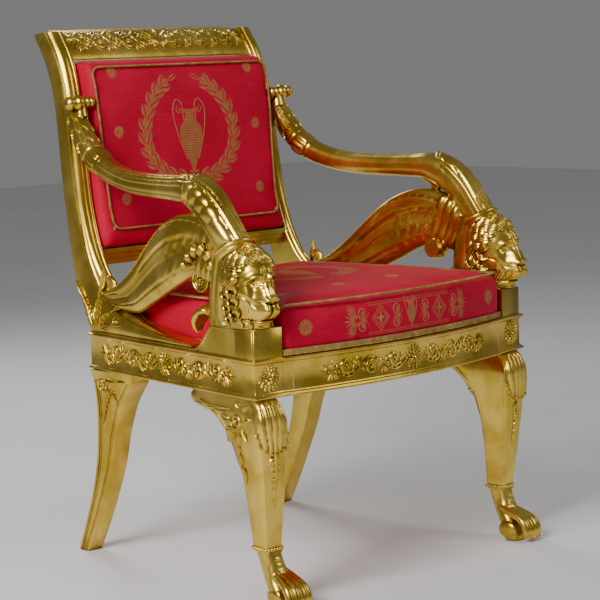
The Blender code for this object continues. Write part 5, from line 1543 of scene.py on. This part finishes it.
def cord_tree():
    """A cord of twisted strands along the edges that it is given."""
    n = Nodes("Twisted cord", [("Radius", "NodeSocketFloat", 0.003), ("Lay", "NodeSocketFloat", 0.018),
                               ("Strands", "NodeSocketInt", 3), ("Spacing", "NodeSocketFloat", 0.0016),
                               ("Material", "NodeSocketMaterial", None)])
    line = n.add("GeometryNodeMeshToCurve", {"Mesh": n.inputs["Geometry"]})
    line = n.add("GeometryNodeResampleCurve", {"Curve": line, "Length": n.inputs["Spacing"]}, mode="LENGTH")
    length = n.add("GeometryNodeCurveLength", {"Curve": line})
    turns = n.math("ROUND", n.math("DIVIDE", length, n.inputs["Lay"]))
    factor = n.add("GeometryNodeSplineParameter")
    tilt = n.math("MULTIPLY", n.math("MULTIPLY", factor, turns), 2 * math.pi)
    line = n.add("GeometryNodeSetCurveTilt", {"Curve": line, "Tilt": tilt})
    circle = n.add("GeometryNodeCurvePrimitiveCircle", {"Resolution": 12, "Radius": 1.0})
    place = n.add("GeometryNodeInputPosition")
    split = n.add("ShaderNodeSeparateXYZ", {0: place})
    other = split.node.outputs[1]
    angle = n.math("ARCTAN2", other, split)
    wave = n.math("ABSOLUTE",
                  n.math("COSINE", n.math("MULTIPLY", angle, n.math("DIVIDE", n.inputs["Strands"], 2.0))))
    swell = n.math("MULTIPLY", n.math("ADD", n.math("MULTIPLY", wave, 0.42), 0.58), n.inputs["Radius"])
    lobed = n.add("ShaderNodeVectorMath", {0: place, "Scale": swell}, operation="SCALE")
    profile = n.add("GeometryNodeSetPosition", {"Geometry": circle, "Position": lobed})
    skin = n.add("GeometryNodeCurveToMesh", {"Curve": line, "Profile Curve": profile, "Fill Caps": True})
    return n.end(n.add("GeometryNodeSetShadeSmooth", {"Geometry": skin}), n.inputs["Material"])


def bead_tree():
    """Flattened beads in a row along the edges that it is given."""
    n = Nodes("Bead row", [("Radius", "NodeSocketFloat", 0.002), ("Spacing", "NodeSocketFloat", 0.004),
                           ("Stretch", "NodeSocketVector", (1.0, 1.0, 1.0)),
                           ("Fineness", "NodeSocketInt", 2),
                           ("Material", "NodeSocketMaterial", None)])
    line = n.add("GeometryNodeMeshToCurve", {"Mesh": n.inputs["Geometry"]})
    points = n.add("GeometryNodeCurveToPoints", {"Curve": line, "Length": n.inputs["Spacing"]},
                   mode="LENGTH")
    turn = points.node.outputs["Rotation"]
    ball = n.add("GeometryNodeMeshIcoSphere",
                 {"Radius": n.inputs["Radius"], "Subdivisions": n.inputs["Fineness"]})
    row = n.add("GeometryNodeInstanceOnPoints", {"Points": points, "Instance": ball, "Rotation": turn,
                                                 "Scale": n.inputs["Stretch"]})
    return n.end(n.add("GeometryNodeSetShadeSmooth", {"Geometry": row}), n.inputs["Material"])


def band_tree():
    """A flat woven band with two raised edges along the edges that it is given."""
    n = Nodes("Woven band", [("Width", "NodeSocketFloat", 0.0105), ("Thickness", "NodeSocketFloat", 0.0016),
                             ("Ribs", "NodeSocketFloat", 2.0), ("Material", "NodeSocketMaterial", None)])
    line = n.add("GeometryNodeMeshToCurve", {"Mesh": n.inputs["Geometry"]})
    circle = n.add("GeometryNodeCurvePrimitiveCircle", {"Resolution": 40, "Radius": 1.0})
    place = n.add("GeometryNodeInputPosition")
    split = n.add("ShaderNodeSeparateXYZ", {0: place})
    other = split.node.outputs[1]
    rib = n.math("COSINE", n.math("MULTIPLY", other, n.math("MULTIPLY", n.inputs["Ribs"], math.pi)))
    deep = n.math("MULTIPLY", n.math("ADD", n.math("MULTIPLY", rib, -0.18), 0.82), n.inputs["Thickness"])
    x = n.math("MULTIPLY", n.math("MULTIPLY", split, deep), 0.5)
    y = n.math("MULTIPLY", n.math("MULTIPLY", other, n.inputs["Width"]), 0.5)
    profile = n.add("GeometryNodeSetPosition",
                    {"Geometry": circle, "Position": n.add("ShaderNodeCombineXYZ", {0: x, 1: y})})
    skin = n.add("GeometryNodeCurveToMesh", {"Curve": line, "Profile Curve": profile, "Fill Caps": True})
    return n.end(n.add("GeometryNodeSetShadeSmooth", {"Geometry": skin}), n.inputs["Material"])


def grown(name, tree, path, closed, paint="gold_thread", **values):
    """Runs a node tree on a path and returns the plain mesh that it makes."""
    mesh = bpy.data.meshes.new(name)
    points = np.array(path, float)
    points[:, 1] += SHIFT
    edges = [(i, i + 1) for i in range(len(points) - 1)]
    if closed:
        edges.append((len(points) - 1, 0))
    mesh.from_pydata(points.tolist(), edges, [])
    item = bpy.data.objects.new(name, mesh)
    bpy.context.scene.collection.objects.link(item)
    step = item.modifiers.new(tree.name, "NODES")
    step.node_group = tree
    values["Material"] = bpy.data.materials[paint]
    for socket in tree.interface.items_tree:
        if socket.in_out == "INPUT" and socket.name in values:
            step[socket.identifier] = values[socket.name]
    return flattened(item)


def joined(name, items):
    pile = Pile()
    for item in items:
        pile.join(item)
    return mesh_object(name, pile)


def back_cord(sizes):
    inset, corner = 0.002, 0.018
    zs = np.linspace(PAD_FACE_LOW + inset + corner, PAD_FACE_HIGH - inset - corner, 60)
    right = stacked(pad_face_half(zs) - inset, zs)
    a = np.linspace(0, math.pi / 2, 9)[1:]
    top = stacked(right[-1, 0] - corner + corner * np.cos(a), right[-1, 1] + corner * np.sin(a))
    low = stacked(right[0, 0] - corner + corner * np.cos(a[::-1]), right[0, 1] - corner * np.sin(a[::-1]))
    half = np.vstack([low, right, top])
    loop = np.vstack([half, half[::-1] * (-1, 1)])
    loop = stacked(loop[:, 0], pad_front(loop[:, 1]) - 0.0024, loop[:, 1])
    tree = cord_tree()
    items = [grown("loop", tree, loop, True, Radius=sizes.back_cord, Lay=sizes.cord_lay,
                   Strands=sizes.strands)]
    for hand in SIDES.values():
        z = PAD_FACE_LOW + 0.010
        x, y = float(pad_face_half(z)) - 0.008, float(pad_front(z))
        tail = smooth_path([(hand * x, y - 0.0015, z), (hand * (x + 0.008), y + 0.0035, z - 0.016),
                            (hand * (x + 0.016), y + 0.010, z - 0.034)], 24)
        items.append(grown("tail", tree, tail, False, Radius=sizes.tail, Lay=sizes.tail_lay,
                           Strands=sizes.strands))
    return fitted(joined("back_cord_twisted", items), "gold_thread", ["back_cord"])


def round_seat(inset, z):
    """A closed path round the seat pad at one height."""
    return stacked(*seat_outline(inset, 0.004).T, z)


def seat_cord(sizes):
    made = grown("seat_cord_twisted", cord_tree(), round_seat(0.0052, SEAT_TOP + 0.0010), True,
                 Radius=sizes.seat_cord, Lay=sizes.cord_lay, Strands=sizes.strands)
    return fitted(made, "gold_thread", ["seat_cord"])


def seat_braid(sizes):
    low = RAIL_TOP + 0.0006
    items = [grown("band", band_tree(), round_seat(-0.0014, low + 0.0064), True,
                   Width=sizes.braid_width, Thickness=sizes.braid_thickness, Ribs=3.0),
             grown("scallops", bead_tree(), round_seat(-0.0016, low + 0.0022), True,
                   Radius=sizes.scallop, Spacing=sizes.scallop_spacing, Fineness=1)]
    return fitted(joined("seat_braid_woven", items), "gold_thread", ["seat_braid"])


def ankle_beads(sizes):
    """The ring of beads above each paw."""
    tree = bead_tree()
    for side, hand in SIDES.items():
        rear, front, half, inside = leg_rows(np.array([ANKLE_Z]))[0]
        a = around(96)
        c, s = np.cos(a), np.sin(a)
        x = LEG_X - inside + squared(c, 0.55) * (half + 0.0014)
        y = (rear + front) / 2 + squared(s, 0.50) * ((rear - front) / 2 + 0.0014)
        path = turned_with_side(stacked(hand * x, y, np.full(96, ANKLE_Z)), hand)
        made = grown(f"{side}_ankle_beads", tree, path, True, "carved_gilding",
                     Radius=sizes.bead, Spacing=sizes.bead_spacing, Fineness=2)
        fitted(made, "carved_gilding")


# Materials

class Value:
    """A shader socket whose sums, differences, products and quotients are Math nodes."""

    def __init__(self, paint, socket):
        self.paint, self.socket = paint, socket

    def __add__(self, other):
        return self.paint.math("ADD", self, other)

    def __sub__(self, other):
        return self.paint.math("SUBTRACT", self, other)

    def __rsub__(self, other):
        return self.paint.math("SUBTRACT", other, self)

    def __mul__(self, other):
        return self.paint.math("MULTIPLY", self, other)

    def __truediv__(self, other):
        return self.paint.math("DIVIDE", self, other)

    def __pow__(self, other):
        return self.paint.math("POWER", self, other)

    __radd__, __rmul__ = __add__, __mul__


class Paint:
    """One material and the nodes that colour it."""

    def __init__(self, name, **constants):
        self.material = bpy.data.materials.new(name)
        self.material.use_nodes = True
        self.tree = self.material.node_tree
        self.shader = self.tree.nodes["Principled BSDF"]
        for field, value in constants.items():
            self.shader.inputs[field.replace("_", " ")].default_value = value

    def node(self, kind, feeds=(), out=0, **fields):
        made = self.tree.nodes.new(kind)
        for name, value in fields.items():
            setattr(made, name, value)
        for where, value in dict(feeds).items():
            self.feed(made.inputs[where], value)
        return Value(self, made.outputs[out])

    def feed(self, socket, value):
        if isinstance(value, Value):
            self.tree.links.new(value.socket, socket)
        else:
            socket.default_value = value

    def math(self, operation, a, b=0.0):
        return self.node("ShaderNodeMath", {0: a, 1: b}, operation=operation)

    def position(self):
        return self.node("ShaderNodeTexCoord", out=3)

    def axes(self):
        """The three object coordinates."""
        split = self.node("ShaderNodeSeparateXYZ", {0: self.position()}).socket.node
        return [Value(self, split.outputs[k]) for k in range(3)]

    def noise(self, scale, detail=3.0, roughness=0.55, where=None):
        return self.node("ShaderNodeTexNoise",
                         {"Vector": where or self.position(), "Scale": scale, "Detail": detail,
                                                "Roughness": roughness})

    def ramp(self, value, low, high):
        return self.node("ShaderNodeMapRange", {"Value": value, "From Min": low, "From Max": high},
                         interpolation_type="SMOOTHSTEP")

    def mix(self, share, a, b):
        made = self.tree.nodes.new("ShaderNodeMix")
        made.data_type = "RGBA"
        for socket, value in ((made.inputs[0], share), (made.inputs[6], a), (made.inputs[7], b)):
            self.feed(socket, value if isinstance(value, (Value, float, int)) else (*value, 1.0))
        return Value(self, made.outputs[2])

    def bump(self, height, distance, strength=1.0):
        return self.node("ShaderNodeBump", {"Height": height, "Distance": distance, "Strength": strength})

    def set(self, **links):
        for field, value in links.items():
            self.feed(self.shader.inputs[field.replace("_", " ")], value)


def gilding_paint(look):
    """Burnished leaf, worn to red clay in fine random flecks, and dull in the hollows, where painted shade
    from ambient occlusion darkens it to brown, standing also for dirt there.
    """
    p = Paint("carved_gilding", Metallic=1.0, Specular_IOR_Level=0.5)
    # Share of ambient light that reaches each point, used below to paint shade into the hollows
    hollow = p.ramp(p.node("ShaderNodeAmbientOcclusion", {"Distance": 0.012}, out=1, samples=6), 0.15, 0.85)
    cloud, fine = p.noise(14.0, 4.0), p.noise(260.0, 3.0, 0.6)
    tone = p.mix(p.ramp(cloud, 0.35, 0.68), look.gold_deep, look.gold_light)
    tone = p.mix(p.ramp(fine, 0.62, 0.78) * 0.55, tone, look.gold_brown)
    # Painted shade: where ambient occlusion finds a hollow, the gold is darkened to the hollow colour, which
    # also stands for dirt and old varnish
    tone = p.mix((1.0 - hollow) * (0.75 + 0.25 * cloud), tone, look.gold_painted_shade_and_dirt)
    rough = 0.13 + 0.16 * cloud + 0.08 * fine + 0.28 * (1.0 - hollow)
    relief = p.bump(p.noise(420.0, 4.0, 0.65) + 0.8 * p.noise(90.0, 3.0), 0.00035, 0.35)
    p.set(Base_Color=tone, Roughness=rough, Normal=relief)


def silk_paint(name, look, level):
    """Crimson silk: a fine ribbed weave with slubs; level turns the ribs into the seat's top."""
    p = Paint(name, Sheen_Weight=0.05, Sheen_Roughness=0.35, Specular_IOR_Level=0.15)
    x, y, z = p.axes()
    across = y + z if level else z
    warp = p.math("SINE", x * 5200.0)
    weft = p.math("SINE", across * 4400.0 + 0.8 * warp)
    slub = p.noise(1.0, 3.0, 0.6,
                   p.node("ShaderNodeMapping", {"Vector": p.position(), "Scale": (30.0, 260.0, 260.0)}))
    cloud = p.noise(9.0, 3.0)
    tone = p.mix(p.ramp(cloud * 0.6 + slub * 0.4, 0.30, 0.70), look.silk_deep, look.silk_light)
    tone = p.mix(p.ramp(weft, -1.0, 1.0) * 0.12, tone, look.silk_dark)
    p.set(Base_Color=tone, Roughness=0.50 + 0.14 * slub,
          Normal=p.bump(weft + 0.6 * warp + 3.0 * slub, 0.00007, 0.6))


def thread_paint(name, dark, light, roughness, metallic):
    p = Paint(name, Metallic=metallic, Specular_IOR_Level=0.5)
    x, y, z = p.axes()
    ply = p.math("SINE", (x + y * 0.7 + z * 1.1) * 5200.0)
    cloud = p.noise(60.0, 3.0)
    tone = p.mix(p.ramp(cloud * 0.7 + 0.15 * ply, 0.25, 0.70), dark, light)
    p.set(Base_Color=tone, Roughness=roughness + 0.15 * cloud,
          Normal=p.bump(ply + 2.0 * cloud, 0.00012, 0.7))


def floor_paint(look):
    p = Paint("studio_floor", Roughness=0.75)
    tone = p.mix(p.ramp(p.noise(1.4, 2.0), 0.3, 0.7), tuple(0.96 * c for c in look.floor), tuple(look.floor))
    p.set(Base_Color=tone)


# The add-on

def tint(name, value, text):
    return FloatVectorProperty(name=name, description=text, default=value, subtype="COLOR", size=3, min=0.0,
                               max=1.0)


class ArmchairLook(bpy.types.PropertyGroup):
    """Colours of the armchair and its studio."""

    gold_light: tint("Bright gold", (0.84, 0.59, 0.11), "Burnished leaf")
    gold_deep: tint("Deep gold", (0.56, 0.37, 0.035), "Leaf that is less burnished")
    gold_brown: tint("Worn gold", (0.26, 0.12, 0.015), "Clay that shows through the leaf")
    # Painted shade for the hollows of the gilding, laid by ambient occlusion, which also stands for dirt and
    # old varnish there
    gold_painted_shade_and_dirt: tint("Hollows", (0.10, 0.045, 0.008), "Dirt and old varnish in the hollows")
    silk_light: tint("Bright silk", (0.62, 0.0015, 0.042), "Silk where the light catches it")
    silk_deep: tint("Silk", (0.46, 0.0008, 0.022), "Main colour of the silk")
    silk_dark: tint("Silk shadow", (0.20, 0.0, 0.004), "Silk between the ribs")
    motif_light: tint("Motif", (0.56, 0.24, 0.06), "Woven motifs")
    motif_dark: tint("Motif shadow", (0.38, 0.12, 0.035), "Woven motifs, darker threads")
    thread_light: tint("Gold thread", (0.82, 0.56, 0.16), "Cords and braid")
    thread_dark: tint("Gold thread shadow", (0.30, 0.16, 0.03), "Cords and braid, darker threads")
    floor: tint("Floor", (0.80, 0.80, 0.80), "Studio floor")


def length(name, value, text):
    return FloatProperty(name=name, description=text, default=value, min=0.0, precision=4, unit="LENGTH")


class ArmchairSizes(bpy.types.PropertyGroup):
    """Sizes of the cords, the braid, the beads and the stuffing."""

    back_cord: length("Back cord", 0.0025, "Radius of the cord round the back pad")
    seat_cord: length("Seat cord", 0.0027, "Radius of the cord round the seat pad")
    cord_lay: length("Cord lay", 0.013, "Length in which a cord turns once")
    tail: length("Cord tails", 0.0040, "Radius of the two tails below the back pad")
    tail_lay: length("Tail lay", 0.016, "Length in which a tail turns once")
    strands: IntProperty(name="Strands", description="Strands in each cord", default=3, min=2, max=6)
    braid_width: length("Braid width", 0.0106, "Width of the braid round the seat pad's foot")
    braid_thickness: length("Braid thickness", 0.0016, "Thickness of the braid")
    scallop: length("Braid edge", 0.0022, "Radius of the scallops below the braid")
    scallop_spacing: length("Braid edge spacing", 0.0048, "Distance between the scallops")
    bead: length("Beads", 0.0036, "Radius of the beads above each paw")
    bead_spacing: length("Bead spacing", 0.0060, "Distance between the beads")
    pad_mesh: length("Pad mesh", 0.0085, "Mesh size of the pads before they are smoothed")
    seat_swell: length("Seat swell", 0.006, "Most that the stuffing lifts the seat's cover")
    back_swell: length("Back swell", 0.008, "Most that the stuffing lifts the back's cover")
    pad_pressure: FloatProperty(name="Stuffing", description="Pressure of the stuffing", default=4.0,
                                min=0.0)


class ArmchairStudio(bpy.types.PropertyGroup):
    """Light and lens of the studio."""

    key_power: FloatProperty(name="Key light", description="Power of the main soft light", default=125.0,
                             min=0.0)
    fill_power: FloatProperty(name="Fill light", description="Power of the light from the right",
                              default=22.0, min=0.0)
    rim_power: FloatProperty(name="Rim light", description="Power of the light behind", default=30.0,
                             min=0.0)
    world: FloatProperty(name="Surroundings", description="Strength of the plain surroundings", default=0.20,
                         min=0.0)
    lens: FloatProperty(name="Lens", description="Focal length in millimetres", default=121.5, min=20.0,
                        unit="CAMERA")


class ARMCHAIR_OT_materials(bpy.types.Operator):
    """Make the gilding, silk, thread and floor materials"""

    bl_idname = "armchair.materials"
    bl_label = "Materials"

    def execute(self, context):
        look = context.scene.armchair_look
        gilding_paint(look)
        silk_paint("silk_seat", look, True)
        silk_paint("silk_back", look, False)
        thread_paint("motif_thread", look.motif_dark, look.motif_light, 0.5, 0.0)
        thread_paint("gold_thread", look.thread_dark, look.thread_light, 0.34, 0.35)
        floor_paint(look)
        return {"FINISHED"}


class ARMCHAIR_OT_frame(bpy.types.Operator):
    """Carve the rails, the crest and the stiles"""

    bl_idname = "armchair.frame"
    bl_label = "Rails and stiles"

    def execute(self, context):
        front_rail()
        crest_rail()
        for side in SIDES:
            side_rail(side)
            stile(side)
        for name in ("back_rail", "lower_back_rail"):
            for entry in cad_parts[name].material_slots:
                entry.material = bpy.data.materials["carved_gilding"]
        return {"FINISHED"}


class ARMCHAIR_OT_legs(bpy.types.Operator):
    """Carve the front legs with their shells and paws, and the rear legs"""

    bl_idname = "armchair.legs"
    bl_label = "Legs"

    def execute(self, context):
        foot = paw()
        for side in SIDES:
            front_leg(side, foot)
            rear_leg(side)
        ankle_beads(context.scene.armchair_sizes)
        return {"FINISHED"}


class ARMCHAIR_OT_arms(bpy.types.Operator):
    """Carve the arms"""

    bl_idname = "armchair.arms"
    bl_label = "Arms"

    def execute(self, context):
        for side in SIDES:
            arm(side)
        return {"FINISHED"}


class ARMCHAIR_OT_lions(bpy.types.Operator):
    """Carve the winged lions"""

    bl_idname = "armchair.lions"
    bl_label = "Winged lions"

    def execute(self, context):
        head, trimmings = lion_head(), Pile()
        lion_trimmings(trimmings)
        for side in SIDES:
            winged_lion(side, head, trimmings)
        return {"FINISHED"}


class ARMCHAIR_OT_upholstery(bpy.types.Operator):
    """Stuff the seat and back pads and lay their woven motifs, cords and braid"""

    bl_idname = "armchair.upholstery"
    bl_label = "Upholstery"

    def execute(self, context):
        for make in (seat_upholstery, back_upholstery, seat_cord, back_cord, seat_braid):
            make(context.scene.armchair_sizes)
        return {"FINISHED"}


FLOOR_HALF, FLOOR_DROP = 9.0, 0.0006
LAMP_AIM = (0.0, 0.0, 0.5)
CAMERA_AT = (-2.612, -2.6925, 0.9405)
CAMERA_AZIMUTH, CAMERA_RISE, CAMERA_ROLL = -44.45, 7.134, -1.847
CAMERA_SHIFT = (2.5 / 600, -1.0 / 600)


class ARMCHAIR_OT_stage(bpy.types.Operator):
    """Lay the floor and set the lights and the camera"""

    bl_idname = "armchair.stage"
    bl_label = "Studio"

    def execute(self, context):
        scene, studio = context.scene, context.scene.armchair_studio
        pile = Pile()
        corners = [(x * FLOOR_HALF, y * FLOOR_HALF, -FLOOR_DROP)
                   for x, y in ((-1, -1), (1, -1), (1, 1), (-1, 1))]
        pile.add(corners, [[0, 1, 2, 3]])
        floor = mesh_object("studio_floor", pile)
        floor.data.materials.append(bpy.data.materials["studio_floor"])
        world = bpy.data.worlds.new("Plain surroundings")
        world.use_nodes = True
        background = world.node_tree.nodes["Background"].inputs
        background["Color"].default_value = (1.0, 1.0, 1.0, 1.0)
        background["Strength"].default_value = studio.world
        scene.world = world
        for name, power, size, at in (("key", studio.key_power, 1.4, (-2.9, -0.7, 2.3)),
                                      ("fill", studio.fill_power, 1.6, (1.6, -2.6, 2.4)),
                                      ("rim", studio.rim_power, 1.2, (0.8, 2.2, 2.2))):
            light = bpy.data.lights.new(name, "AREA")
            light.energy, light.size = power, size
            lamp = bpy.data.objects.new(name, light)
            lamp.location = at
            lamp.rotation_euler = (Vector(LAMP_AIM) - Vector(at)).to_track_quat("-Z", "Y").to_euler()
            scene.collection.objects.link(lamp)
        azimuth, rise, roll = (math.radians(angle) for angle in (CAMERA_AZIMUTH, CAMERA_RISE, CAMERA_ROLL))
        back = Vector((math.sin(azimuth) * math.cos(rise), -math.cos(azimuth) * math.cos(rise),
                       math.sin(rise)))
        right = Vector((math.cos(azimuth), math.sin(azimuth), 0))
        up = back.cross(right)
        across = right * math.cos(roll) + up * math.sin(roll)
        upward = up * math.cos(roll) - right * math.sin(roll)
        camera = bpy.data.cameras.new("camera")
        camera.lens, camera.sensor_width = studio.lens, 36
        camera.shift_x, camera.shift_y = CAMERA_SHIFT
        view = bpy.data.objects.new("camera", camera)
        placed = Matrix((across, upward, back)).transposed().to_4x4()
        placed.translation = Vector(CAMERA_AT) + Vector((0, SHIFT, 0))
        view.matrix_world = placed
        scene.collection.objects.link(view)
        scene.camera = view
        return {"FINISHED"}


STEPS = ("materials", "frame", "legs", "arms", "lions", "upholstery", "stage")


class ARMCHAIR_PT_panel(bpy.types.Panel):
    """Sizes, colours and steps of the armchair"""

    bl_label = "Armchair"
    bl_idname = "ARMCHAIR_PT_panel"
    bl_space_type = "VIEW_3D"
    bl_region_type = "UI"
    bl_category = "Armchair"

    def draw(self, context):
        layout = self.layout
        scene = context.scene
        for group in (scene.armchair_look, scene.armchair_sizes, scene.armchair_studio):
            box = layout.box()
            for name in group.__annotations__:
                box.prop(group, name)
        for name in STEPS:
            layout.operator(f"armchair.{name}")


CLASSES = (
    ArmchairLook, ArmchairSizes, ArmchairStudio, ARMCHAIR_OT_materials, ARMCHAIR_OT_frame, ARMCHAIR_OT_legs,
    ARMCHAIR_OT_arms, ARMCHAIR_OT_lions, ARMCHAIR_OT_upholstery, ARMCHAIR_OT_stage, ARMCHAIR_PT_panel,
)


def register():
    for entry in CLASSES:
        bpy.utils.register_class(entry)
    bpy.types.Scene.armchair_look = PointerProperty(type=ArmchairLook)
    bpy.types.Scene.armchair_sizes = PointerProperty(type=ArmchairSizes)
    bpy.types.Scene.armchair_studio = PointerProperty(type=ArmchairStudio)


def unregister():
    del bpy.types.Scene.armchair_look
    del bpy.types.Scene.armchair_sizes
    del bpy.types.Scene.armchair_studio
    for entry in reversed(CLASSES):
        bpy.utils.unregister_class(entry)


def main():
    register()
    for name in STEPS:
        getattr(bpy.ops.armchair, name)()


if __name__ == "__main__":
    main()
